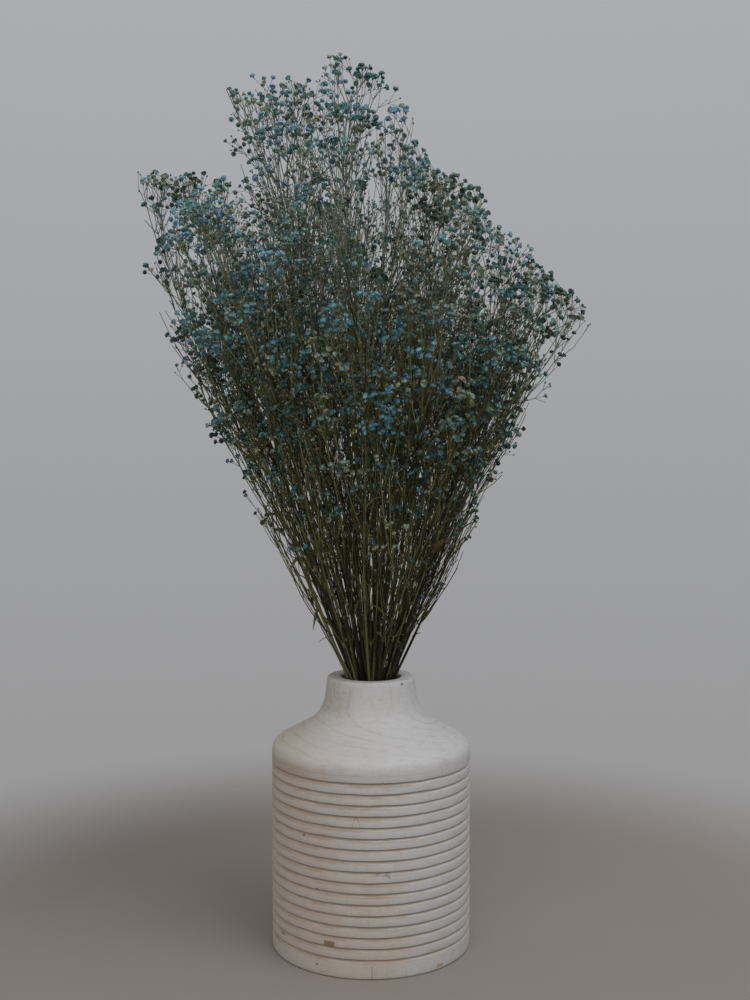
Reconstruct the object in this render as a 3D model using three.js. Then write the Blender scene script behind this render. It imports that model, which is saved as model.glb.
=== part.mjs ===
// Preserved gypsophila in a turned wooden vase.
// Lengths are millimetres, +Z is up, and the origin is the centre of the vase's foot.

import * as THREE from "three";
import { mergeVertices } from "three/addons/utils/BufferGeometryUtils.js";

// Driving sizes of the vase
const VASE_SIDES = 28;
const VASE_HEIGHT = 240;
const BODY_RADIUS = 88.5;
const FOOT_BEVEL = 2;
const GROOVE_COUNT = 17;
const GROOVE_PITCH = 9.3;
const GROOVE_WIDTH = 2.6;
const GROOVE_DEPTH = 3;
const LOWEST_GROOVE_Z = 16.2;
const BORE_RADIUS = 26;
const BORE_FLOOR_Z = 14;
const BORE_LIP = 1;

// Radius and height of the turned outline from the edge of the shoulder to the rim
const SHOULDER_AND_NECK = [
  [BODY_RADIUS, 175],
  [87.2, 180],
  [83, 184.2],
  [63, 195.4],
  [54, 200.5],
  [47, 207],
  [43, 214.5],
  [40.4, 225],
  [39.4, 238],
  [37.6, VASE_HEIGHT],
];

// Driving sizes of the bundle of stems
const STEM_COUNT = 31;
const SEAT_GAP = 0.3;
const FOOT_SPREAD = 19;
const WAIST_SPREAD = 16;
const WAIST_Z = 202;
const MOUTH_SPREAD = 23.6;
const FAN_SLOPE = 0.48;
const BUNDLE_TURN = 2.094;
const GOLDEN_ANGLE = Math.PI * (3 - Math.sqrt(5));
const SWAY = 0.05;
const SWAY_WAVE = 62;
const BACK_RISE = 0.06;
const EDGE_DROP = 0.14;
const EDGE_SCATTER = 0.2;

// Driving sizes of one spray
const FOOT_RADIUS = 1.8;
const TIP_RADIUS = 1.2;
const BRANCH_RADIUS = 1.1;
const TWIG_RADIUS = 0.9;
const JOINT_LENGTH = 4;
const JOINT_SHARES = [0.2, 0.42, 0.62, 0.82];
const JOINT_BRANCHES = [0, 2, 2, 1];
const JOINT_SCATTER = 0.07;
const BRANCH_LEAN = [0.42, 0.8];
const BRANCH_SWING = 0.9;
const BRANCH_SHARE = [0.34, 0.07];
const BRANCH_SCATTER = 0.15;
const BRANCH_TRIM = 0.015;
const LEAFY_JOINTS = 2;
const LOW_JOINT_RADIUS = 0.7;
const LEAF_LENGTH = 22;
const LEAF_WIDTH = 4.6;
const LEAF_RIDGE = 1;
const LEAF_LEAN = 0.75;
const LEAF_DROOP = 3;
const FORK_RISE = 1.2;
const FORK_SWING = 0.5;
const FORK_LEAN = 0.62;
const FORK_LEAN_SCATTER = 0.2;
const FORK_LENGTH = 27;
const FORK_LENGTH_SCATTER = 0.25;
const FLORET_RADIUS = 6.5;
const FLORET_LENGTH = 12;
const FLORET_BASE = 0.38;
const FLORET_SHOULDER = 0.78;
const FLORET_SHOULDER_RADIUS = 0.72;
const FLORET_CORE = [0.4, 0.6];
const CLEARANCE = 0.6;
const CROWN_LEAN_LIMIT = 1.13;
const CROWN_REACH_MARGIN = 4;
const TRIES_PER_FACE = 12;
const PLACING_TRIES = 3 * TRIES_PER_FACE;

// Outline of the crown as seen from the front, [x, z], from the left wing to the right one
const CROWN_OUTLINE = [
  [-184, 592],
  [-202, 678],
  [-158, 690],
  [-128, 762],
  [-92, 750],
  [-62, 752],
  [-30, 784],
  [-8, 782],
  [28, 737],
  [52, 698],
  [98, 660],
  [132, 624],
  [184, 575],
  [186, 528],
  [150, 476],
];

// What each draw of a stem, a branch or a fork settles
const DRAW = {
  forkLean: 0,
  forkLength: 3,
  forkSwing: 6,
  branchLength: 8,
  jointHeight: 10,
  firstFace: 20,
  tipHeight: 1,
  phase: 2,
  branchFacing: 50,
  branchLean: 90,
};

// Heights of the rings of a stem between the vase's floor and its rim
const LOWER_LEVELS = [BORE_FLOOR_Z + SEAT_GAP, WAIST_Z, (WAIST_Z + VASE_HEIGHT) / 2, VASE_HEIGHT];

const FULL_TURN = 2 * Math.PI;
const THIRD_TURN = FULL_TURN / 3;

// A repeatable draw between 0 and 1 for a pair of numbers
function draw(first, second) {
  const wave = Math.sin(first * 12.9898 + second * 78.233) * 43758.5453;
  return wave - Math.floor(wave);
}

function between([first, last], share) {
  return first + (last - first) * share;
}

// A value scattered evenly by a share of itself to either side
function scatter(value, share, drawn) {
  return value * (1 - share + 2 * share * drawn);
}

// The vase, turned on a lathe with a straight bore for the stems

function vaseProfile() {
  const profile = [[0, 0], [BODY_RADIUS - FOOT_BEVEL, 0], [BODY_RADIUS, FOOT_BEVEL]];
  for (let ring = 0; ring < GROOVE_COUNT; ring += 1) {
    const middle = LOWEST_GROOVE_Z + ring * GROOVE_PITCH;
    profile.push([BODY_RADIUS, middle - GROOVE_WIDTH / 2]);
    profile.push([BODY_RADIUS - GROOVE_DEPTH, middle]);
    profile.push([BODY_RADIUS, middle + GROOVE_WIDTH / 2]);
  }
  profile.push(...SHOULDER_AND_NECK);
  profile.push([BORE_RADIUS + BORE_LIP, VASE_HEIGHT]);
  profile.push([BORE_RADIUS, VASE_HEIGHT - BORE_LIP]);
  profile.push([BORE_RADIUS, BORE_FLOOR_Z]);
  profile.push([0, BORE_FLOOR_Z]);
  return profile.map(([radius, z]) => new THREE.Vector2(radius, z));
}

function vaseMesh(material) {
  const turned = new THREE.LatheGeometry(vaseProfile(), VASE_SIDES);
  turned.rotateX(Math.PI / 2);
  turned.deleteAttribute("normal");
  turned.deleteAttribute("uv");
  const merged = mergeVertices(turned, 1e-4);
  const corners = merged.index.array;
  const kept = [];
  for (let i = 0; i < corners.length; i += 3) {
    const [a, b, c] = [corners[i], corners[i + 1], corners[i + 2]];
    if (a !== b && b !== c && c !== a) {
      kept.push(a, b, c);
    }
  }
  merged.setIndex(kept);
  merged.computeVertexNormals();
  const mesh = new THREE.Mesh(merged, material);
  mesh.name = "vase";
  return mesh;
}

// Where the stems stand: evenly spread in the mouth, fanned out above it without crossing

const FAN_APEX_Z = VASE_HEIGHT - MOUTH_SPREAD / FAN_SLOPE;

function bundleSpread(z) {
  if (z >= VASE_HEIGHT) {
    return MOUTH_SPREAD + (z - VASE_HEIGHT) * FAN_SLOPE;
  }
  if (z >= WAIST_Z) {
    const rise = (z - WAIST_Z) / (VASE_HEIGHT - WAIST_Z);
    return between([WAIST_SPREAD, MOUTH_SPREAD], rise * rise);
  }
  return between([WAIST_SPREAD, FOOT_SPREAD], (WAIST_Z - z) / (WAIST_Z - BORE_FLOOR_Z));
}

function outlineReach(across) {
  const polar = CROWN_OUTLINE.map(([x, z]) => [
    Math.atan2(x, z - FAN_APEX_Z),
    Math.hypot(x, z - FAN_APEX_Z),
  ]);
  const angle = Math.atan(across * FAN_SLOPE);
  if (angle <= polar[0][0]) {
    return polar[0][1];
  }
  for (let i = 1; i < polar.length; i += 1) {
    const [left, before] = polar[i - 1];
    const [right, reach] = polar[i];
    if (angle <= right) {
      return between([before, reach], (angle - left) / (right - left));
    }
  }
  return polar[polar.length - 1][1];
}

function planStem(number) {
  const radius = Math.sqrt((number + 0.5) / STEM_COUNT);
  const turn = number * GOLDEN_ANGLE + BUNDLE_TURN;
  const across = radius * Math.cos(turn);
  const back = radius * Math.sin(turn);
  const drop = EDGE_DROP * back * back + EDGE_SCATTER * Math.abs(back) * draw(number, DRAW.tipHeight);
  const reach = (outlineReach(across) - FORK_LENGTH) * (1 + BACK_RISE * back - drop);
  const tipZ = FAN_APEX_Z + reach / Math.hypot(1, FAN_SLOPE * radius);
  const phase = FULL_TURN * draw(number, DRAW.phase);
  const hasLowJoint = number % 2 === 0 && radius > LOW_JOINT_RADIUS;
  const joints = [];
  for (let level = hasLowJoint ? 0 : 1; level < JOINT_SHARES.length; level += 1) {
    const scattered = JOINT_SHARES[level] + JOINT_SCATTER * (draw(number, DRAW.jointHeight + level) - 0.5);
    const z = VASE_HEIGHT + (tipZ - VASE_HEIGHT) * scattered;
    joints.push({ z, level, branches: [], family: `joint ${number} ${level}` });
  }
  return { number, across, back, tipZ, phase, joints };
}

function stemPoint(stem, z) {
  const spread = bundleSpread(z);
  const sway = SWAY * Math.max(0, spread - MOUTH_SPREAD);
  return new THREE.Vector3(
    stem.across * spread + sway * Math.sin(z / SWAY_WAVE + stem.phase),
    stem.back * spread + sway * Math.cos(z / SWAY_WAVE + 2 * stem.phase),
    z,
  );
}

function stemHeading(stem, z) {
  return stemPoint(stem, z + 1).sub(stemPoint(stem, z - 1)).normalize();
}

// A direction that leans off a heading by an angle, turned round it by another.
// A turn of zero leans it towards the upper direction.
function leanOff(heading, upper, lean, turn) {
  const over = upper.clone().addScaledVector(heading, -upper.dot(heading)).normalize();
  const side = over.clone().cross(heading);
  return heading.clone().multiplyScalar(Math.cos(lean))
    .addScaledVector(over, Math.sin(lean) * Math.cos(turn))
    .addScaledVector(side, -Math.sin(lean) * Math.sin(turn));
}

// A heading that leans off a nearly upright one towards a compass direction
function leanOut(heading, lean, facing) {
  const outward = new THREE.Vector3(Math.cos(facing), Math.sin(facing), 0);
  return heading.clone().multiplyScalar(Math.cos(lean)).addScaledVector(outward, Math.sin(lean)).normalize();
}

// Clearance between limbs, each a straight piece with a radius

function segmentDistance(a, b, c, d) {
  const first = b.clone().sub(a);
  const second = d.clone().sub(c);
  const offset = a.clone().sub(c);
  const firstSquare = first.lengthSq();
  const secondSquare = second.lengthSq();
  const product = first.dot(second);
  const firstOff = first.dot(offset);
  const secondOff = second.dot(offset);
  const clamp = (value) => Math.min(1, Math.max(0, value));
  const spread = firstSquare * secondSquare - product * product;
  let s = 0;
  if (spread > 1e-9) {
    s = clamp((product * secondOff - firstOff * secondSquare) / spread);
  }
  const t = clamp((product * s + secondOff) / secondSquare);
  s = clamp((product * t - firstOff) / firstSquare);
  const near = a.clone().addScaledVector(first, s);
  const far = c.clone().addScaledVector(second, t);
  return near.distanceTo(far);
}

// Florets stay within the crown's outline, taken as round seen from above
function isInCrown(point) {
  const width = (point.z - FAN_APEX_Z) * FAN_SLOPE;
  const across = point.x / width;
  const back = point.y / width;
  const reach = Math.hypot(point.x, point.z - FAN_APEX_Z);
  const limit = outlineReach(across) + CROWN_REACH_MARGIN;
  return Math.hypot(across, back) < CROWN_LEAN_LIMIT && reach < limit;
}

// A limb may touch only the family that it grows from
function isClear(limbs, taken) {
  for (const other of taken) {
    for (const limb of limbs) {
      if (limb.growsFrom.includes(other.family)) {
        continue;
      }
      const apart = segmentDistance(limb.start, limb.end, other.start, other.end);
      if (apart < limb.radius + other.radius + CLEARANCE) {
        return false;
      }
    }
  }
  return true;
}

function stemLimbs(stem) {
  const levels = [...LOWER_LEVELS, ...stem.joints.map((joint) => joint.z), stem.tipZ];
  const limbs = [];
  for (let i = 1; i < levels.length; i += 1) {
    limbs.push({
      family: `stem ${stem.number}`,
      growsFrom: [],
      start: stemPoint(stem, levels[i - 1]),
      end: stemPoint(stem, levels[i]),
      radius: FOOT_RADIUS,
    });
  }
  return limbs;
}

// A fork of three twigs, each with a floret on its end
function planFork(root, heading, upper, seed, growsFrom) {
  const twigs = [];
  const limbs = [];
  const swing = FORK_SWING * (draw(seed, DRAW.forkSwing) - 0.5);
  for (let arm = 0; arm < 3; arm += 1) {
    const lean = scatter(FORK_LEAN, FORK_LEAN_SCATTER, draw(seed, DRAW.forkLean + arm));
    const length = scatter(FORK_LENGTH, FORK_LENGTH_SCATTER, draw(seed, DRAW.forkLength + arm));
    const out = leanOff(heading, upper, lean, swing + (arm + 0.5) * THIRD_TURN);
    const start = root.clone().addScaledVector(out, FORK_RISE);
    const neck = root.clone().addScaledVector(out, length - FLORET_LENGTH / 2);
    const tip = root.clone().addScaledVector(out, length + FLORET_LENGTH / 2);
    twigs.push({ heading: out, neck, tip });
    limbs.push({ family: "twig", growsFrom, start, end: neck, radius: TWIG_RADIUS });
    const [low, high] = FLORET_CORE.map((share) => neck.clone().lerp(tip, share));
    limbs.push({ family: "floret", growsFrom: [], start: low, end: high, radius: FLORET_RADIUS });
  }
  return { root, heading, upper, swing, twigs, limbs };
}

function planBranch(stem, joint, face, seed, attempt) {
  const { z, family } = joint;
  const root = stemPoint(stem, z + JOINT_LENGTH / 2);
  const swing = attempt === 0 ? 0 : draw(seed, DRAW.branchFacing + attempt) - 0.5;
  const facing = stem.phase + (face + 0.5) * THIRD_TURN + BRANCH_SWING * swing;
  const lean = between(BRANCH_LEAN, draw(seed, DRAW.branchLean + attempt));
  const heading = leanOut(stemHeading(stem, z), lean, facing);
  const height = stem.tipZ - VASE_HEIGHT;
  const longest = height * between(BRANCH_SHARE, (z - VASE_HEIGHT) / height);
  const length = scatter(longest, BRANCH_SCATTER, draw(seed, DRAW.branchLength));
  const end = root.clone().addScaledVector(heading, length * (1 - BRANCH_TRIM * attempt));
  const fork = planFork(end, heading, stemHeading(stem, z), seed + attempt / PLACING_TRIES, []);
  const growsFrom = [`stem ${stem.number}`, family];
  const limbs = [{ family, growsFrom, start: root, end, radius: BRANCH_RADIUS }, ...fork.limbs];
  return { face, root, heading, end, fork, limbs };
}

// The fork on a stem's end, turned until it is clear
function placeTip(stem, taken) {
  const root = stemPoint(stem, stem.tipZ);
  const heading = stemHeading(stem, stem.tipZ);
  const upper = new THREE.Vector3(Math.cos(stem.phase), Math.sin(stem.phase), 0);
  for (let attempt = 0; attempt < PLACING_TRIES; attempt += 1) {
    const seed = stem.number + attempt / PLACING_TRIES;
    stem.fork = planFork(root, heading, upper, seed, [`stem ${stem.number}`]);
    if (isClear(stem.fork.limbs, taken)) {
      break;
    }
  }
  taken.push(...stem.fork.limbs);
}

// A narrow leaf on a joint, in the pane that no branch took
function planLeaf(stem, joint, taken) {
  const faces = [0, 1, 2].filter((face) => joint.branches.every((other) => other.face !== face));
  for (const face of faces) {
    const facing = stem.phase + (face + 0.5) * THIRD_TURN;
    const root = stemPoint(stem, joint.z + JOINT_LENGTH / 2);
    const heading = leanOut(stemHeading(stem, joint.z), LEAF_LEAN, facing);
    const tip = root.clone().addScaledVector(heading, LEAF_LENGTH);
    tip.z -= LEAF_DROOP;
    const family = `leaf ${stem.number}`;
    const growsFrom = [`stem ${stem.number}`, joint.family];
    const limb = { family, growsFrom, start: root, end: tip, radius: LEAF_WIDTH / 2 };
    if (isClear([limb], taken)) {
      taken.push(limb);
      return { face, root, heading, upper: stemHeading(stem, joint.z), tip };
    }
  }
  return null;
}

// A branch is turned about its joint, and shortened a little, until it is clear
function placeBranch(stem, joint, side, taken) {
  const seed = stem.number * 2 * JOINT_SHARES.length + joint.level * 2 + side;
  const firstFace = Math.floor(3 * draw(stem.number, DRAW.firstFace + joint.level));
  for (let attempt = 0; attempt < PLACING_TRIES; attempt += 1) {
    const face = (firstFace + side + Math.floor(attempt / TRIES_PER_FACE)) % 3;
    if (joint.branches.every((other) => other.face !== face)) {
      const branch = planBranch(stem, joint, face, seed, attempt);
      const inside = branch.fork.twigs.every((twig) => isInCrown(twig.tip));
      if (inside && isClear(branch.limbs, taken)) {
        taken.push(...branch.limbs);
        joint.branches.push(branch);
        return;
      }
    }
  }
}

function planSprays() {
  const stems = [];
  const taken = [];
  for (let number = 0; number < STEM_COUNT; number += 1) {
    stems.push(planStem(number));
    taken.push(...stemLimbs(stems[number]));
  }
  for (const stem of stems) {
    placeTip(stem, taken);
  }
  for (const [level, count] of JOINT_BRANCHES.entries()) {
    for (const stem of stems) {
      const joint = stem.joints.find((other) => other.level === level);
      for (let side = 0; side < count; side += 1) {
        placeBranch(stem, joint, side, taken);
      }
    }
  }
  for (const stem of stems) {
    for (const joint of stem.joints.slice(0, LEAFY_JOINTS)) {
      joint.leaf = planLeaf(stem, joint, taken);
    }
  }
  return stems;
}

// One closed three-sided surface that every limb of a spray grows out of

class GrownSurface {
  constructor() {
    this.points = [];
    this.faces = [];
  }

  addPoint(point) {
    this.points.push(point);
    return this.points.length - 1;
  }

  addRing(centre, heading, upper, radius, turn) {
    const ring = [];
    for (let corner = 0; corner < 3; corner += 1) {
      const out = leanOff(heading, upper, Math.PI / 2, turn + corner * THIRD_TURN);
      ring.push(this.addPoint(centre.clone().addScaledVector(out, radius)));
    }
    return ring;
  }

  gap(first, second) {
    return this.points[first].distanceTo(this.points[second]);
  }

  // The new ring, started from the corner that leaves the least twist
  untwist(lower, upper) {
    const shifts = [0, 1, 2].map((shift) => [0, 1, 2].map((i) => upper[(i + shift) % 3]));
    const twist = (ring) => lower.reduce((sum, corner, i) => sum + this.gap(corner, ring[i]), 0);
    return shifts.reduce((best, ring) => (twist(ring) < twist(best) ? ring : best));
  }

  bridge(lower, upper) {
    const ring = this.untwist(lower, upper);
    const panes = [];
    for (let i = 0; i < 3; i += 1) {
      const next = (i + 1) % 3;
      const [a, b, c, d] = [lower[i], lower[next], ring[next], ring[i]];
      if (this.gap(a, c) < this.gap(b, d)) {
        panes.push([a, b, c]);
        this.faces.push([a, c, d]);
      } else {
        panes.push([a, b, d]);
        this.faces.push([b, c, d]);
      }
    }
    this.faces.push(...panes);
    return { ring, panes };
  }

  // Opens one pane of the surface, for a limb to grow out of
  open(pane) {
    this.faces.splice(this.faces.indexOf(pane), 1);
    return pane;
  }

  close(ring, tip) {
    const point = this.addPoint(tip);
    const panes = [0, 1, 2].map((i) => [ring[i], ring[(i + 1) % 3], point]);
    this.faces.push(...panes);
    return panes;
  }

  floret(rootRing, twig, upper) {
    const at = (share) => twig.neck.clone().lerp(twig.tip, share);
    const neck = this.addRing(twig.neck, twig.heading, upper, TWIG_RADIUS, 0);
    const low = this.addRing(at(FLORET_BASE), twig.heading, upper, FLORET_RADIUS, 0);
    const shoulder = FLORET_RADIUS * FLORET_SHOULDER_RADIUS;
    const halfTurn = THIRD_TURN / 2;
    const high = this.addRing(at(FLORET_SHOULDER), twig.heading, upper, shoulder, halfTurn);
    let ring = this.bridge(rootRing, neck).ring;
    ring = this.bridge(ring, low).ring;
    ring = this.bridge(ring, high).ring;
    this.close(ring, twig.tip);
  }

  forkedEnd(rootRing, fork, radius) {
    const end = this.addRing(fork.root, fork.heading, fork.upper, radius, fork.swing);
    const ring = this.bridge(rootRing, end).ring;
    const rise = fork.root.clone().addScaledVector(fork.heading, FORK_RISE);
    const panes = this.close(ring, rise);
    for (const twig of fork.twigs) {
      const middles = panes.map((pane) => this.centreOf(pane).distanceTo(twig.neck));
      const pane = panes.splice(middles.indexOf(Math.min(...middles)), 1)[0];
      this.floret(this.open(pane), twig, fork.heading);
    }
  }

  leaf(rootRing, leaf) {
    const middle = leaf.root.clone().addScaledVector(leaf.heading, LEAF_LENGTH / 2);
    const blade = [0, 1, 2].map((corner) => {
      const turn = corner * FULL_TURN / 4 + (corner === 2 ? FULL_TURN / 4 : 0);
      const out = leanOff(leaf.heading, leaf.upper, Math.PI / 2, turn);
      const size = corner === 0 ? LEAF_RIDGE : LEAF_WIDTH / 2;
      return this.addPoint(middle.clone().addScaledVector(out, size));
    });
    this.close(this.bridge(rootRing, blade).ring, leaf.tip);
  }

  centreOf(pane) {
    const middle = new THREE.Vector3();
    for (const corner of pane) {
      middle.addScaledVector(this.points[corner], 1 / 3);
    }
    return middle;
  }

  geometry() {
    const geometry = new THREE.BufferGeometry();
    geometry.setFromPoints(this.points);
    geometry.setIndex(this.faces.flat());
    geometry.computeVertexNormals();
    return geometry;
  }
}

function stemRadius(stem, z) {
  return between([FOOT_RADIUS, TIP_RADIUS], z / stem.tipZ);
}

function stemRing(surface, stem, z) {
  const centre = stemPoint(stem, z);
  const ring = [];
  for (let corner = 0; corner < 3; corner += 1) {
    const angle = stem.phase + corner * THIRD_TURN;
    const out = new THREE.Vector3(Math.cos(angle), Math.sin(angle), 0);
    ring.push(surface.addPoint(centre.clone().addScaledVector(out, stemRadius(stem, z))));
  }
  return ring;
}

function sprayMesh(stem, material) {
  const surface = new GrownSurface();
  let ring = stemRing(surface, stem, LOWER_LEVELS[0]);
  surface.faces.push([ring[2], ring[1], ring[0]]);
  for (const z of LOWER_LEVELS.slice(1)) {
    ring = surface.bridge(ring, stemRing(surface, stem, z)).ring;
  }
  for (const joint of stem.joints) {
    ring = surface.bridge(ring, stemRing(surface, stem, joint.z)).ring;
    const top = surface.bridge(ring, stemRing(surface, stem, joint.z + JOINT_LENGTH));
    for (const branch of joint.branches) {
      const root = surface.open(top.panes[branch.face]);
      surface.forkedEnd(root, branch.fork, BRANCH_RADIUS);
    }
    if (joint.leaf) {
      surface.leaf(surface.open(top.panes[joint.leaf.face]), joint.leaf);
    }
    ring = top.ring;
  }
  surface.forkedEnd(ring, stem.fork, TIP_RADIUS);
  const mesh = new THREE.Mesh(surface.geometry(), material);
  mesh.name = `spray_${String(stem.number + 1).padStart(2, "0")}`;
  return mesh;
}

// Finishes
const whitewash = new THREE.MeshStandardMaterial({ color: 0xb9b4ab, roughness: 0.8, metalness: 0 });
const brightBlue = new THREE.MeshStandardMaterial({ color: 0x4f93ad, roughness: 0.85, metalness: 0 });
const deepTeal = new THREE.MeshStandardMaterial({ color: 0x35646c, roughness: 0.85, metalness: 0 });
const fadedGreen = new THREE.MeshStandardMaterial({ color: 0x5c6b5c, roughness: 0.85, metalness: 0 });
const DYES = [brightBlue, deepTeal, fadedGreen];

const gypsophila = new THREE.Group();
gypsophila.add(vaseMesh(whitewash));
for (const stem of planSprays()) {
  gypsophila.add(sprayMesh(stem, DYES[stem.number % DYES.length]));
}

export default gypsophila;
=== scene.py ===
"""Preserved gypsophila standing in a turned, whitewashed wooden vase.

Lengths are millimetres until a mesh is made, and metres in Blender. +Z is up and the origin is the
centre of the vase's foot. Every spray grows on the skeleton that its plain solid has.
"""

from __future__ import annotations

import logging
import math
import random
from dataclasses import dataclass, field
from enum import Enum

import bmesh
import bpy
import numpy as np
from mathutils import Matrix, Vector


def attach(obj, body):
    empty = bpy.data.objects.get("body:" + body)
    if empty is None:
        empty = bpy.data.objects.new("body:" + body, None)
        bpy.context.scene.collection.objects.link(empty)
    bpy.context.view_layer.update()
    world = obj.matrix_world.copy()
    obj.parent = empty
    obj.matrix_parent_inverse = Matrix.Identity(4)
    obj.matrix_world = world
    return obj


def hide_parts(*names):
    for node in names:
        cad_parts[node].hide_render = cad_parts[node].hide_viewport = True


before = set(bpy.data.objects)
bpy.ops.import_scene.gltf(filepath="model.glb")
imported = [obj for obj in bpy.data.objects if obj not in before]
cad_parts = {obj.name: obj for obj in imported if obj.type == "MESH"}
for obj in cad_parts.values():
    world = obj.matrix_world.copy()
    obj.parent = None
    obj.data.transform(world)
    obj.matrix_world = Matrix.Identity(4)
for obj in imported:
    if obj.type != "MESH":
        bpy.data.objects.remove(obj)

LOG = logging.getLogger("gypsophila")
MM = 0.001
FULL_TURN = 2 * math.pi
THIRD_TURN = FULL_TURN / 3
GOLDEN_ANGLE = math.pi * (3 - math.sqrt(5))
BAKE_MAP = "OFBake"
CROWN_TOP = 820
UPWARD = Vector((0, 0, 1))

Colour = tuple[float, float, float, float]
Triple = tuple[float, float, float]
Spot = tuple[float, float]
Outline = tuple[Spot, ...]
Material = bpy.types.Material
Array = np.ndarray


class Slot(Enum):
    """Material slots of the record that the pieces take their finish from."""

    WHITEWASHED_WOOD = "whitewashed_wood"
    BRIGHT_BLUE = "bright_blue_florets"
    DEEP_TEAL = "deep_teal_florets"
    FADED_GREEN = "faded_green_florets"
    DRIED_STEM = "dried_stem"


# Kinds of growth on a twig besides the open florets, which are numbered from 0
BUD = -1
BRACT = -2
# Screen colours of each dye: darkest, deep, clear, bright, aqua and faded
DYE_TONES = {
    Slot.BRIGHT_BLUE: (
        (42, 62, 58), (60, 98, 96), (86, 140, 148), (110, 157, 188), (116, 170, 172), (140, 142, 116)
    ),
    Slot.DEEP_TEAL: (
        (36, 54, 48), (52, 88, 82), (74, 124, 126), (104, 154, 174), (108, 160, 160), (126, 130, 102)
    ),
    Slot.FADED_GREEN: (
        (44, 58, 44), (66, 92, 76), (92, 126, 114), (112, 156, 166), (112, 160, 152), (148, 147, 119)
    ),
}
DYES = tuple(DYE_TONES)


def paint(red: float, green: float, blue: float) -> Colour:
    """Turn a colour as read on a screen into a linear one.

    Args:
        red: Red from 0 to 255.
        green: Green from 0 to 255.
        blue: Blue from 0 to 255.

    Returns:
        The linear colour with full alpha.
    """
    linear = []
    for value in (red, green, blue):
        share = value / 255
        linear.append(share / 12.92 if share <= 0.04045 else ((share + 0.055) / 1.055) ** 2.4)
    return (linear[0], linear[1], linear[2], 1)


def between(first: float, last: float, share: float) -> float:
    """Return the value that lies a share of the way from the first to the last."""
    return first + (last - first) * share


def draw(first: float, second: float) -> float:
    """Return a repeatable draw between 0 and 1 for a pair of numbers."""
    wave = math.sin(first * 12.9898 + second * 78.233) * 43758.5453
    return wave - math.floor(wave)


def scatter(value: float, share: float, drawn: float) -> float:
    """Return a value scattered evenly by a share of itself to either side."""
    return value * (1 - share + 2 * share * drawn)


# Shader expressions


class Shade:
    """A socket of a material's nodes, for use as a value in Python expressions."""

    def __init__(self, recipe: Recipe, socket: bpy.types.NodeSocket) -> None:
        """Wrap an output socket of the recipe's nodes."""
        self.recipe, self.socket = recipe, socket

    def _math(self, operation: str, other: Shade | float = 0) -> Shade:
        """Return the value of one Math node."""
        return self.recipe.node("ShaderNodeMath", {"operation": operation}, {0: self, 1: other})

    def __add__(self, other: Shade | float) -> Shade:
        """Add a value."""
        return self._math("ADD", other)

    __radd__ = __add__

    def __sub__(self, other: Shade | float) -> Shade:
        """Subtract a value."""
        return self._math("SUBTRACT", other)

    def __rsub__(self, other: float) -> Shade:
        """Subtract from a number."""
        return self * -1 + other

    def __mul__(self, other: Shade | float) -> Shade:
        """Multiply by a value."""
        return self._math("MULTIPLY", other)

    __rmul__ = __mul__

    def __truediv__(self, other: Shade | float) -> Shade:
        """Divide by a value."""
        return self._math("DIVIDE", other)

    def __pow__(self, other: float) -> Shade:
        """Raise to a power."""
        return self._math("POWER", other)

    def __abs__(self) -> Shade:
        """Drop the sign."""
        return self._math("ABSOLUTE")

    def sine(self) -> Shade:
        """Return the sine."""
        return self._math("SINE")

    def fraction(self) -> Shade:
        """Return what is left above the whole number below."""
        return self._math("FRACT")

    def ramp(self, low: float, high: float, start: float = 0, end: float = 1) -> Shade:
        """Turn a range of the value softly into another one, clamped at both ends."""
        inputs = {"Value": self, "From Min": low, "From Max": high, "To Min": start, "To Max": end}
        return self.recipe.node("ShaderNodeMapRange", {"interpolation_type": "SMOOTHSTEP"}, inputs)

    def band(self, middle: float, half: float, soft: float) -> Shade:
        """Mark the values within half a width of a middle one, with soft edges."""
        return abs(self - middle).ramp(half + soft, half)


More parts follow.
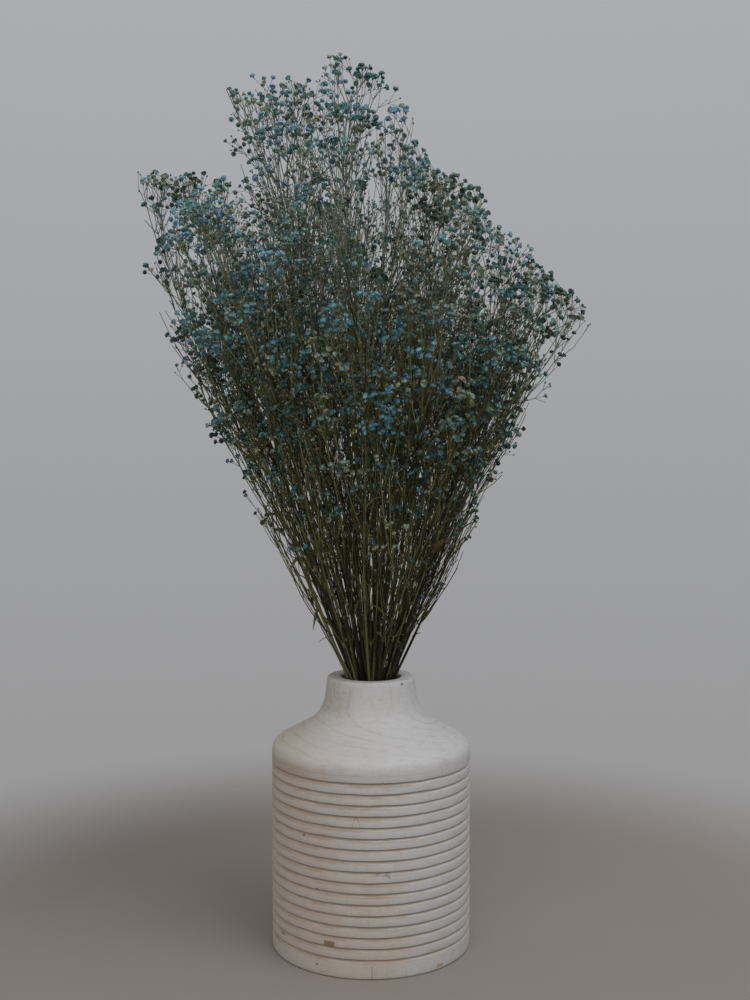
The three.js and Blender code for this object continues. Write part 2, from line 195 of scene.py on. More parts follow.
class Recipe:
    """The nodes of one material, or of the world."""

    def __init__(self, owner: Material | bpy.types.World) -> None:
        """Clear the owner's nodes.

        Args:
            owner: The new material or world.
        """
        owner.use_nodes = True
        self.owner = owner
        self.tree = owner.node_tree
        self.tree.nodes.clear()

    def node(
        self,
        kind: str,
        settings: dict[str, object] | None = None,
        inputs: dict[int | str, object] | None = None,
        output: int = 0,
    ) -> Shade:
        """Add a node.

        Args:
            kind: The node's type.
            settings: Its settings.
            inputs: What its sockets get, by name or place.
            output: The place of the wanted output.

        Returns:
            The wanted output, or the first input of a node that has no output.
        """
        made = self.tree.nodes.new(kind)
        for key, value in (settings or {}).items():
            setattr(made, key, value)
        for key, value in (inputs or {}).items():
            socket = made.inputs[key]
            if isinstance(value, Shade):
                self.tree.links.new(value.socket, socket)
            else:
                socket.default_value = value
        return Shade(self, made.outputs[output] if made.outputs else made.inputs[0])

    def colours(self, value: Shade, stops: list[tuple[float, Colour]]) -> Shade:
        """Turn a value into a colour by a ramp.

        Args:
            value: The value.
            stops: The places and colours of the ramp's stops.

        Returns:
            The colour.
        """
        made = self.node("ShaderNodeValToRGB", None, {0: value})
        elements = made.socket.node.color_ramp.elements
        while len(elements) < len(stops):
            elements.new(1)
        for element, (place, colour) in zip(elements, stops):
            element.position = place
            element.color = colour
        return made

    def mix(self, factor: Shade | float, first: Shade | Colour, second: Shade | Colour) -> Shade:
        """Mix two colours: a factor of 0 gives the first and 1 the second."""
        return self.node("ShaderNodeMix", {"data_type": "RGBA"}, {0: factor, 6: first, 7: second}, 2)

    def darken(self, colour: Shade | Colour, share: Shade | float) -> Shade:
        """Return a colour taken towards black by a share."""
        return self.mix(share, colour, (0, 0, 0, 1))

    def scaled(self, vector: Shade, by: Triple) -> Shade:
        """Return a vector with each part multiplied."""
        return self.node("ShaderNodeVectorMath", {"operation": "MULTIPLY"}, {0: vector, 1: by})

    def length(self, vector: Shade) -> Shade:
        """Return the length of a vector."""
        return self.node("ShaderNodeVectorMath", {"operation": "LENGTH"}, {0: vector}, 1)

    def parts(self, vector: Shade) -> tuple[Shade, ...]:
        """Return the three parts of a vector."""
        outputs = self.node("ShaderNodeSeparateXYZ", None, {0: vector}).socket.node.outputs
        return tuple(Shade(self, output) for output in outputs)

    def noise(self, vector: Shade, scale: float, detail: float = 2, rough: float = 0.5) -> Shade:
        """Return a cloudy noise around 0.5, with a number of finer layers and their strength."""
        inputs = {"Vector": vector, "Scale": scale, "Detail": detail, "Roughness": rough}
        return self.node("ShaderNodeTexNoise", None, inputs)

    def bump(self, height: Shade, strength: float, distance: float) -> Shade:
        """Return the normal of fine relief, whose height of 1 is a distance in metres."""
        inputs = {"Height": height, "Strength": strength, "Distance": distance}
        return self.node("ShaderNodeBump", None, inputs)

    def close(self, surface: dict[int | str, object]) -> Material:
        """End the material with a Principled shader that has these values on its sockets."""
        self.node("ShaderNodeOutputMaterial", None, {0: self.node("ShaderNodeBsdfPrincipled", None, surface)})
        return self.owner


@dataclass(frozen=True)
class PetalFinish:
    """Dyed, dried petals. The map runs from a petal's base to its edge, and across the dye's tones."""

    slot: Slot
    tones: tuple[Colour, ...]
    stops: tuple[float, ...] = (0, 0.28, 0.5, 0.68, 0.82, 0.94)
    roughness: float = 0.82

    def material(self) -> Material:
        """Make the finish.

        Returns:
            Its material.
        """
        recipe = Recipe(bpy.data.materials.new(self.slot.value))
        place = recipe.node("ShaderNodeUVMap", {"uv_map": BAKE_MAP})
        along, tone, _ = recipe.parts(place)
        mottle = recipe.noise(recipe.scaled(place, (9, 160, 1)), 1, 2, 0.6)
        vein = recipe.noise(recipe.scaled(place, (3, 420, 1)), 1, 1)
        shifted = tone + (mottle - 0.5) * 0.16
        dyed = recipe.colours(shifted, list(zip(self.stops, self.tones)))
        shadowed = recipe.darken(dyed, along.ramp(0, 0.55, 0.62, 0))
        veined = recipe.darken(shadowed, vein.ramp(0.35, 0.75, 0, 0.3))
        edge = recipe.mix(along.ramp(0.72, 1) * mottle.ramp(0.35, 0.7, 0.1, 0.45), veined, self.tones[-1])
        rough = mottle.ramp(0.2, 0.8, self.roughness - 0.08, self.roughness + 0.1)
        return recipe.close({"Base Color": edge, "Roughness": rough, "Specular IOR Level": 0.25})


@dataclass(frozen=True)
class StemFinish:
    """Dried stems and leaves. The map runs along each twig, and across the tones of the twigs."""

    slot: Slot
    dark: Colour
    olive: Colour
    straw: Colour
    russet: Colour
    dusty: Colour
    roughness: float = 0.68

    def material(self) -> Material:
        """Make the finish.

        Returns:
            Its material.
        """
        recipe = Recipe(bpy.data.materials.new(self.slot.value))
        place = recipe.node("ShaderNodeUVMap", {"uv_map": BAKE_MAP})
        along, tone, _ = recipe.parts(place)
        stretch = recipe.noise(recipe.scaled(place, (34, 60, 1)), 1, 3, 0.6)
        fleck = recipe.noise(recipe.scaled(place, (260, 240, 1)), 1, 2)
        shifted = tone + (stretch - 0.5) * 0.3
        tones = (self.dark, self.olive, self.straw, self.olive, self.russet)
        base = recipe.colours(shifted, list(zip((0, 0.3, 0.62, 0.84, 1), tones)))
        shaded = recipe.darken(base, along.ramp(0.3, 0.66, 0.62, 0) * tone.ramp(0.7, 0.1, 0.15, 1))
        flecked = recipe.darken(shaded, fleck.ramp(0.5, 0.72, 0, 0.4))
        sunned = recipe.mix(fleck.ramp(0.5, 0.3) * 0.2, flecked, self.straw)
        dyed = along.ramp(0.58, 0.8, 0, 0.65) * stretch.ramp(0.3, 0.6, 0.5, 1)
        tinted = recipe.mix(dyed, sunned, self.dusty)
        rough = stretch.ramp(0.25, 0.75, self.roughness - 0.12, self.roughness + 0.14)
        surface = {"Base Color": tinted, "Roughness": rough, "Specular IOR Level": 0.35}
        return recipe.close({**surface, "Normal": recipe.bump(fleck, 0.35, 0.0002)})


@dataclass(frozen=True)
class Mark:
    """A small mark on the front of the vase, placed by its middle."""

    x: float
    z: float
    width: float
    height: float
    colour: Colour
    strength: float
    soft: float = 0.6
    broken: bool = False


# The small marks on the front of the vase
BARE_WOOD = paint(150, 112, 70)
DARK_DIRT = paint(96, 82, 64)
GREY_WEAR = paint(126, 122, 114)
VASE_MARKS = (
    Mark(-34.8, 28.6, 8.4, 4, BARE_WOOD, 0.85),
    Mark(-34.8, 28.6, 8, 3.6, DARK_DIRT, 0.7, 0.5, True),
    Mark(10.1, 89.4, 11.5, 2.2, DARK_DIRT, 0.95, 0.5, True),
    Mark(13, 88, 6, 3.4, GREY_WEAR, 0.8, 0.8, True),
    Mark(1, 6, 0.3, 11, DARK_DIRT, 0.75, 0.3),
    Mark(58.8, 3.8, 4.6, 1.8, BARE_WOOD, 0.6),
    Mark(-78, 186.5, 0.4, 2.4, DARK_DIRT, 0.45, 0.3),
    Mark(-76, 23, 1.4, 1.4, DARK_DIRT, 0.7),
    Mark(-45.2, 73, 1.4, 1.4, DARK_DIRT, 0.7),
    Mark(-45.4, 8.8, 1.4, 1.2, DARK_DIRT, 0.7),
    Mark(-56.5, 116.5, 1.4, 1.4, DARK_DIRT, 0.7),
    Mark(27, 237.5, 1.6, 1.2, DARK_DIRT, 0.8),
)


@dataclass(frozen=True)
class WhitewashFinish:
    """Thin whitewash brushed over turned wood, rubbed off at the edges of the rings, with painted shade
    added.
    """

    slot: Slot
    cool: Colour
    warm: Colour
    tan: Colour
    groove: Colour
    shadow_and_mark: Colour
    marks: tuple[Mark, ...]
    vase: TurnedVase
    ring_spacing: float = 9.0
    roughness: float = 0.8

    def material(self) -> Material:
        """Make the finish.

        Returns:
            Its material.
        """
        recipe = Recipe(bpy.data.materials.new(self.slot.value))
        metres = recipe.node("ShaderNodeTexCoord", None, None, 3)
        place = recipe.scaled(metres, (1000, 1000, 1000))
        x, y, z = recipe.parts(place)
        radius = recipe.length(recipe.scaled(place, (1, 1, 0)))

        cloud = recipe.noise(place, 0.022, 3, 0.55)
        brushed = recipe.noise(recipe.scaled(place, (1, 1, 3.5)), 0.09, 4, 0.6)
        fibre = recipe.noise(recipe.scaled(place, (1, 1, 0.045)), 0.9, 3, 0.65)
        grit = recipe.noise(place, 1.6, 2, 0.7)
        uneven = recipe.noise(recipe.scaled(place, (0.05, 0.05, 0.4)), 1, 4, 0.65)
        scratched = recipe.noise(recipe.scaled(place, (0.5, 1, 2.2)), 0.9, 2, 0.7).ramp(0.5, 0.6)
        patchy = recipe.noise(place, 0.03, 2).ramp(0.42, 0.6, 0.25, 1)

        # The wood's growth rings, on the shoulder above all
        off_x = x - 22 - (z - 200) * 0.25
        off_y = y - 8
        pith = (off_x * off_x + off_y * off_y) ** 0.5
        growth = (pith + (cloud - 0.5) * 9) * (FULL_TURN / self.ring_spacing)
        top = self.vase.body_top
        rings = growth.sine().ramp(0.8, 1) * patchy * z.ramp(top, top + 8, 0.04, 0.26)
        under = z.band(top - 3, 5, 4) * cloud.ramp(0.3, 0.7, 0.1, 0.5)
        bare = z.ramp(206, 216) * x.ramp(-10, -34) * fibre.ramp(0.38, 0.62, 0.1, 0.55)

        # The turned grooves: rubbed lips, bare insides, and dark lines of painted shadow under the upper lips
        body = z.band((top + 9) / 2, (top - 9) / 2, 1.5)
        step = ((z - self.vase.lowest_groove) / self.vase.groove_pitch + 0.5).fraction()
        lift = (step - 0.5) * self.vase.groove_pitch
        # Painted shade: the grooves' rubbed lips, bare insides and shadows grow stronger to the left, away
        # from the key lamp
        shaded_side = x.ramp(72, -10, 0.3, 1)
        rubbed = lift.band(-1.5, 0.9, 1.1) * uneven.ramp(0.34, 0.62, 0.3, 0.9) * shaded_side
        inside = body * radius.ramp(self.vase.body_radius - 0.6, self.vase.body_radius - 1.6)
        # Painted shadow: a dark brown line just under each groove's upper lip
        lip_shadow = body * lift.band(0.45, 0.2, 0.35) * shaded_side
        layers = [
            (brushed.ramp(0.48, 0.75, 0, 0.25), self.tan),
            (fibre.ramp(0.56, 0.74, 0, 0.42), self.tan),
            (rings, self.tan),
            # Painted shade: the tan band under the shoulder is made stronger on the left, away from the key
            # lamp
            (under * x.ramp(60, -60, 0.2, 1), self.tan),
            (bare, self.tan),
            (body * rubbed, self.tan),
            (inside * shaded_side * uneven.ramp(0.3, 0.6, 0.5, 1), self.groove),
            (lip_shadow * uneven.ramp(0.65, 0.4, 0.3, 0.9), self.shadow_and_mark),
            (radius.ramp(27.6, 26.4) * z.ramp(236, 240, 1, 0.35), self.groove),
        ]

        # Marks on the front, the last of them a small arch
        front = y.ramp(6, -2)
        ragged = (grit - 0.5) * 0.9
        for mark in self.marks:
            wide = (x + ragged).band(mark.x, mark.width / 2, mark.soft)
            high = (z + ragged).band(mark.z, mark.height / 2, mark.soft)
            shown = front * wide * high * mark.strength
            layers.append((shown * scratched if mark.broken else shown, mark.colour))
        aside = x + 12.2
        rise = z - 136.8 + aside * aside * 0.72
        arch = rise.band(0, 0.35, 0.5) * z.ramp(127.5, 129) * aside.band(0, 3.5, 0.5)
        layers.append((arch * front * 0.75, self.shadow_and_mark))

        # Random warm clouds, and painted shade that makes the whitewash warmer and darker to the left and
        # lower down
        warmth_and_shade = (x * -0.006 + (200 - z) * 0.0022 + cloud * 0.9).ramp(0.25, 1.1)
        colour = recipe.mix(warmth_and_shade, self.cool, self.warm)
        for shown, tint in layers:
            colour = recipe.mix(shown, colour, tint)
        colour = recipe.darken(colour, grit.ramp(0.62, 0.8, 0, 0.16))
        rough = brushed.ramp(0.3, 0.7, self.roughness - 0.08, self.roughness + 0.1)
        relief = fibre * 0.5 + brushed * 0.35 + grit * 0.3
        normal = recipe.bump(relief, 0.4, 0.0005)
        surface = {"Base Color": colour, "Roughness": rough, "Specular IOR Level": 0.3}
        return recipe.close({**surface, "Normal": normal})


@dataclass(frozen=True)
class FloorFinish:
    """A plain pale floor that fades out into the light all round it."""

    tint: Colour
    solid_radius: float
    clear_radius: float

    def material(self) -> Material:
        """Make the finish.

        Returns:
            Its material.
        """
        recipe = Recipe(bpy.data.materials.new("pale_floor"))
        metres = recipe.node("ShaderNodeTexCoord", None, None, 3)
        away = recipe.length(metres)
        soft = recipe.noise(metres, 5, 3)
        colour = recipe.darken(self.tint, soft.ramp(0.3, 0.7, 0, 0.03))
        surface = {"Base Color": colour, "Roughness": 0.9, "Specular IOR Level": 0.2}
        solid = recipe.node("ShaderNodeBsdfPrincipled", None, surface)
        clear = recipe.node("ShaderNodeBsdfTransparent")
        gone = away.ramp(self.solid_radius, self.clear_radius)
        mixed = recipe.node("ShaderNodeMixShader", None, {0: gone, 1: solid, 2: clear})
        recipe.node("ShaderNodeOutputMaterial", None, {0: mixed})
        return recipe.owner


# Meshes


class MeshBatch:
    """Corners and faces of one mesh, gathered in arrays, with a map for the finish."""

    def __init__(self) -> None:
        """Start an empty batch."""
        self.corners: list[Array] = []
        self.places: list[Array] = []
        self.faces: list[Array] = []
        self.smooth: list[bool] = []
        self.count = 0

    def add(self, corners: Array, places: Array, faces: list[Array], smooth: bool) -> None:
        """Add parts that have the same faces.

        Args:
            corners: The corners of each part in millimetres, as parts by corners by 3.
            places: Their places on the map, as parts by corners by 2.
            faces: Arrays of one part's faces, by number of corners.
            smooth: Whether the faces are shaded smoothly.
        """
        parts, each = corners.shape[:2]
        shifts = (self.count + np.arange(parts) * each)[:, None, None]
        self.corners.append(corners.reshape(-1, 3))
        self.places.append(places.reshape(-1, 2))
        for group in faces:
            self.faces.append((group[None] + shifts).reshape(-1, group.shape[1]))
            self.smooth.append(smooth)
        self.count += parts * each

    def triangles(self) -> int:
        """Return how many triangles the faces make."""
        return sum(len(group) * (group.shape[1] - 2) for group in self.faces)

    def build(self, name: str) -> bpy.types.Object:
        """Make the mesh and its object.

        Args:
            name: The name of both.

        Returns:
            The new object, in the scene.
        """
        mesh = bpy.data.meshes.new(name)
        corners = np.concatenate(self.corners) * MM
        loops = np.concatenate([group.ravel() for group in self.faces])
        totals = np.concatenate([np.full(len(group), group.shape[1]) for group in self.faces])
        smooth = np.concatenate([np.full(len(g), s) for g, s in zip(self.faces, self.smooth)])
        mesh.vertices.add(len(corners))
        mesh.vertices.foreach_set("co", corners.astype(np.float32).ravel())
        mesh.loops.add(len(loops))
        mesh.loops.foreach_set("vertex_index", loops.astype(np.int32))
        mesh.polygons.add(len(totals))
        starts = np.cumsum(totals) - totals
        mesh.polygons.foreach_set("loop_start", starts.astype(np.int32))
        mesh.polygons.foreach_set("loop_total", totals.astype(np.int32))
        mesh.polygons.foreach_set("use_smooth", smooth)
        mesh.update(calc_edges=True)
        layer = mesh.uv_layers.new(name=BAKE_MAP)
        places = np.concatenate(self.places)[loops]
        layer.data.foreach_set("uv", places.astype(np.float32).ravel())
        made = bpy.data.objects.new(name, mesh)
        bpy.context.scene.collection.objects.link(made)
        return made


def unit_rows(rows: Array) -> Array:
    """Return the rows of vectors, each with length 1."""
    return rows / np.maximum(np.linalg.norm(rows, axis=-1, keepdims=True), 1e-9)


def wall_faces(rings: int, corners: int, steps: int) -> Array:
    """Return the faces between rings of corners.

    Args:
        rings: How many rings there are.
        corners: How many corners each ring has.
        steps: How many faces go round: one for each corner where the ring closes.

    Returns:
        The four-sided faces.
    """
    ring, side = np.meshgrid(np.arange(rings - 1), np.arange(steps), indexing="ij")
    low = ring * corners + side
    high = ring * corners + (side + 1) % corners
    return np.stack([low, high, high + corners, low + corners], axis=-1).reshape(-1, 4)


def tube_faces(rings: int, sides: int) -> list[Array]:
    """Return the side faces of a closed tube of rings, and its two end faces."""
    ends = np.stack([np.arange(sides)[::-1], np.arange(sides) + (rings - 1) * sides])
    return [wall_faces(rings, sides, sides), ends]


def tube_corners(paths: Array, radii: Array, sides: int) -> Array:
    """Return the corners of tubes along paths.

    Args:
        paths: The points of each path, as tubes by points by 3.
        radii: The radius at each point, as tubes by points.
        sides: How many corners each ring has.

    Returns:
        The corners, as tubes by (points times sides) by 3.
    """
    tangents = unit_rows(np.gradient(paths, axis=1))
    chords = np.abs(paths[:, -1] - paths[:, 0])
    level = np.eye(3)[np.argmin(chords, axis=1)][:, None, :]
    first = unit_rows(level - tangents * np.sum(level * tangents, axis=-1, keepdims=True))
    second = np.cross(tangents, first)
    angles = np.arange(sides) * FULL_TURN / sides
    across = first[:, :, None, :] * np.cos(angles)[:, None]
    round_ = second[:, :, None, :] * np.sin(angles)[:, None]
    corners = paths[:, :, None, :] + radii[:, :, None, None] * (across + round_)
    return corners.reshape(len(paths), -1, 3)


@dataclass
class Bloom:
    """A floret's form in its own frame, +Z outward, one unit wide at its widest."""

    corners: Array
    along: Array
    offset: Array
    triangles: Array


@dataclass
class BloomMaker:
    """Makes the forms of florets: a small cup with two rounds of petals, the outer ones ruffled and notched.
    """

    outer_petals: int = 5
    inner_petals: int = 4

    def __post_init__(self) -> None:
        """Start with no corners."""
        self._corners: list[tuple[float, ...]] = []
        self._triangles: list[tuple[int, int, int]] = []

    def _corner(self, point: Triple, along: float, offset: float) -> int:
        """Add a corner, its share of the way to the edge and its shift in tone, and return its number."""
        self._corners.append((*point, along, offset))
        return len(self._corners) - 1

    def _rings(self, profile: tuple[Triple, ...], chance: random.Random) -> list[int]:
        """Add a four-sided form of rings.

        Args:
            profile: Each ring's height, radius and share of the way to a petal's edge.
            chance: The source of its unevenness.

        Returns:
            The corners of the last ring.
        """
        rings = []
        for height, radius, along in profile:
            ring = []
            for side in range(4):
                angle = side * FULL_TURN / 4 + height
                out = radius * chance.uniform(0.88, 1.1)
                ring.append(self._corner((out * math.cos(angle), out * math.sin(angle), height), along, 0))
            rings.append(ring)
        for lower, upper in zip(rings, rings[1:]):
            for side in range(4):
                following = (side + 1) % 4
                self._triangles.append((lower[side], lower[following], upper[following]))
                self._triangles.append((lower[side], upper[following], upper[side]))
        return rings[-1]

    def _petal(
        self, chance: random.Random, facing: float, shape: tuple[float, ...], ruffle: float
    ) -> None:
        """Add one cupped petal with a notched, ruffled edge.

        Args:
            chance: The source of its unevenness.
            facing: Its compass direction.
            shape: How far out and up its middle is, the same of its edge, and half its width.
            ruffle: How uneven its edge is. A petal with none has a single point.
        """
        middle_out, middle_up, edge_out, edge_up, half = shape
        cosine = math.cos(facing)
        sine = math.sin(facing)
        offset = 0.012 * (chance.random() - 0.5)
        swell = chance.uniform(0.88, 1.1)

        def at(out: float, side: float, up: float) -> Triple:
            """Return a point of the petal by how far out, how far aside and how high it is."""
            far = out * swell
            return (far * cosine - side * sine, far * sine + side * cosine, up)

        def uneven() -> float:
            """Return how far a point of the edge strays."""
            return chance.uniform(-ruffle, ruffle)

        base = self._corner(at(0.04, 0, 0.3), 0, offset)
        left = self._corner(at(middle_out * 0.86, -half, middle_up + 0.05), 0.6, offset)
        right = self._corner(at(middle_out * 0.86, half, middle_up + 0.05), 0.6, offset)
        heart = self._corner(at(middle_out, 0, middle_up - 0.04), 0.48, offset)
        if ruffle:
            sides = (-half * 0.62, half * 0.62)
            rim = [at(edge_out + uneven(), side, edge_up + uneven()) for side in sides]
        else:
            rim = [at(edge_out, chance.uniform(-0.06, 0.06), edge_up + chance.uniform(-0.06, 0.04))]
        edge = [left, *(self._corner(point, 1, offset) for point in rim), right]
        self._triangles.append((base, heart, left))
        self._triangles.append((base, right, heart))
        for first, second in zip(edge, edge[1:]):
            self._triangles.append((heart, second, first))

    def _finish(self) -> Bloom:
        """Return the finished form."""
        rows = np.array(self._corners)
        return Bloom(rows[:, :3], rows[:, 3], rows[:, 4], np.array(self._triangles))

    def open_floret(self, seed: int) -> Bloom:
        """Make a floret in full bloom, dried to a ruffled ball.

        Args:
            seed: Which of the unlike florets it is.

        Returns:
            Its form.
        """
        chance = random.Random(seed)
        self._rings(((0, 0.08, 0), (0.42, 0.2, 0.3)), chance)
        turn = chance.uniform(0, 1)
        rounds = (
            (self.outer_petals, 0, (0.46, 0.44, 0.36, 0.82, 0.33), 0.08),
            (self.inner_petals, 0.5, (0.2, 0.62, 0.13, 0.96, 0.24), 0),
        )
        for count, start, shape, ruffle in rounds:
            for petal in range(count):
                facing = turn + (petal + start + chance.uniform(-0.15, 0.15)) * FULL_TURN / count
                self._petal(chance, facing, shape, ruffle)
        return self._finish()

    def closed_bud(self, seed: int) -> Bloom:
        """Make a small closed bud with a pinched tip.

        Args:
            seed: Which of the unlike buds it is.

        Returns:
            Its form.
        """
        chance = random.Random(seed)
        last = self._rings(((0, 0.12, 0.05), (0.26, 0.34, 0.25), (0.62, 0.3, 0.75)), chance)
        tip = self._corner((0, 0, 0.86), 1, 0)
        for side in range(4):
            self._triangles.append((last[side], last[(side + 1) % 4], tip))
        return self._finish()

    def bract(self) -> Bloom:
        """Make a small dry bract, pointed at both ends.

        Returns:
            Its form.
        """
        ring = self._rings(((0.45, 0.34, 0.6),), random.Random(0))
        ends = (self._corner((0, 0, -0.1), 0.4, 0), self._corner((0, 0, 1), 1, 0))
        for side in range(4):
            following = ring[(side + 1) % 4]
            self._triangles.append((following, ring[side], ends[0]))
            self._triangles.append((ring[side], following, ends[1]))
        return self._finish()


# The skeleton that the plain solids have


@dataclass(frozen=True)
class Fan:
    """How the stems stand in the vase and fan out above it."""

    stem_count: int = 31
    vase_height: float = 240.0
    bore_floor: float = 14.0
    foot_z: float = 14.3
    foot_spread: float = 19.0
    waist_spread: float = 16.0
    waist_z: float = 202.0
    mouth_spread: float = 23.6
    slope: float = 0.48
    turn: float = 2.094
    sway: float = 0.05
    sway_wave: float = 62.0

    @property
    def apex_z(self) -> float:
        """Return the height where the fan's lines would meet."""
        return self.vase_height - self.mouth_spread / self.slope

    def spread(self, z: float) -> float:
        """Measure the bundle of stems.

        Args:
            z: A height.

        Returns:
            The bundle's radius there.
        """
        if z >= self.vase_height:
            return self.mouth_spread + (z - self.vase_height) * self.slope
        if z >= self.waist_z:
            rise = (z - self.waist_z) / (self.vase_height - self.waist_z)
            return between(self.waist_spread, self.mouth_spread, rise * rise)
        fall = (self.waist_z - z) / (self.waist_z - self.bore_floor)
        return between(self.waist_spread, self.foot_spread, fall)


@dataclass(frozen=True)
class Crown:
    """The outline of the flowering crown, as seen from the front."""

    fan: Fan
    lean_limit: float = 1.13
    outline: Outline = (
        (-184, 592), (-202, 678), (-158, 690), (-128, 762), (-92, 750), (-62, 752),
        (-30, 784), (-8, 782), (28, 737), (52, 698), (98, 660), (132, 624),
        (184, 575), (186, 528), (150, 476),
    )

    def reach(self, across: float) -> float:
        """Return how far the crown reaches from the fan's apex.

        Args:
            across: A place across the fan, from -1 to 1.

        Returns:
            The distance to the outline.
        """
        apex = self.fan.apex_z
        polar = [(math.atan2(x, z - apex), math.hypot(x, z - apex)) for x, z in self.outline]
        angle = math.atan(across * self.fan.slope)
        if angle <= polar[0][0]:
            return polar[0][1]
        for (left, before), (right, reach) in zip(polar, polar[1:]):
            if angle <= right:
                return between(before, reach, (angle - left) / (right - left))
        return polar[-1][1]

    def depth(self, point: Vector) -> float:
        """Return how far a point lies within the outline, negative outside it."""
        height = point.z - self.fan.apex_z
        return self.reach(point.x / (height * self.fan.slope)) - math.hypot(point.x, height)

    def holds(self, point: Vector, margin: float = 4) -> bool:
        """Say whether a point lies within the fan, and within the outline or a margin outside it."""
        width = (point.z - self.fan.apex_z) * self.fan.slope
        return math.hypot(point.x / width, point.y / width) < self.lean_limit and self.depth(point) > -margin


@dataclass
class Limb:
    """A straight piece of a spray with a radius, for the clearance test."""

    family: str
    grows_from: tuple[str, ...]
    start: Vector
    end: Vector
    radius: float


@dataclass
class Twig:
    """One arm of a fork, from its neck to its tip."""

    heading: Vector
    neck: Vector
    tip: Vector


@dataclass
class Fork:
    """Three twigs from one root."""

    root: Vector
    twigs: list[Twig]
    limbs: list[Limb]


@dataclass
class Branch:
    """A branch from a pane of a joint to its fork."""

    face: int
    root: Vector
    heading: Vector
    end: Vector
    fork: Fork
    limbs: list[Limb]


@dataclass
class Joint:
    """A joint of a main stem, with the root and tip of its leaf."""

    z: float
    level: int
    family: str
    branches: list[Branch] = field(default_factory=list)
    leaf: tuple[Vector, Vector] | None = None


def lean_off(heading: Vector, upper: Vector, lean: float, turn: float) -> Vector:
    """Return a direction that leans off a heading.

    Args:
        heading: The heading, of length 1.
        upper: Where a turn of zero leans to.
        lean: The angle off the heading.
        turn: The angle round it.

    Returns:
        The direction, of length 1.
    """
    over = (upper - heading * upper.dot(heading)).normalized()
    side = over.cross(heading)
    lifted = heading * math.cos(lean) + over * (math.sin(lean) * math.cos(turn))
    return lifted - side * (math.sin(lean) * math.sin(turn))


def lean_out(heading: Vector, lean: float, facing: float) -> Vector:
    """Return a nearly upright heading leaned by an angle towards a compass direction."""
    outward = Vector((math.cos(facing), math.sin(facing), 0))
    return (heading * math.cos(lean) + outward * math.sin(lean)).normalized()


class Thicket:
    """Limbs that are already placed, in arrays, so that new ones keep clear of them."""

    def __init__(self, clearance: float) -> None:
        """Start empty.

        Args:
            clearance: The least gap between two limbs.
        """
        self.clearance = clearance
        self.starts = np.zeros((0, 3))
        self.ends = np.zeros((0, 3))
        self.radii = np.zeros(0)
        self.families = np.zeros(0, dtype=object)

    def add(self, limbs: list[Limb]) -> None:
        """Place limbs.

        Args:
            limbs: The limbs that new ones keep clear of from now on.
        """
        self.starts = np.vstack([self.starts, [limb.start for limb in limbs]])
        self.ends = np.vstack([self.ends, [limb.end for limb in limbs]])
        self.radii = np.append(self.radii, [limb.radius for limb in limbs])
        self.families = np.append(self.families, [limb.family for limb in limbs])

    def is_clear(self, limbs: list[Limb]) -> bool:
        """Say whether limbs keep clear of all that is placed.

        Args:
            limbs: The new limbs.

        Returns:
            Whether each is clear of all but what it grows from.
        """
        for limb in limbs:
            apart = self._distances(np.array(limb.start), np.array(limb.end))
            near = apart < limb.radius + self.radii + self.clearance
            if limb.grows_from:
                near &= ~np.isin(self.families, limb.grows_from)
            if near.any():
                return False
        return True

    def _distances(self, start: Array, end: Array) -> Array:
        """Return the distance from one straight piece to each placed one.

        Args:
            start: One end of the piece.
            end: Its other end.

        Returns:
            The distances.
        """
        first = end - start
        second = self.ends - self.starts
        offset = start - self.starts
        first_square = first @ first
        second_square = np.einsum("ij,ij->i", second, second)
        product = second @ first
        first_off = offset @ first
        second_off = np.einsum("ij,ij->i", second, offset)
        spread = first_square * second_square - product * product
        wide = spread > 1e-9
        raw = (product * second_off - first_off * second_square) / np.where(wide, spread, 1)
        s = np.where(wide, np.clip(raw, 0, 1), 0)
        t = np.clip((product * s + second_off) / second_square, 0, 1)
        s = np.clip((product * t - first_off) / first_square, 0, 1)
        near = start + s[:, None] * first
        far = self.starts + t[:, None] * second
        return np.linalg.norm(near - far, axis=1)


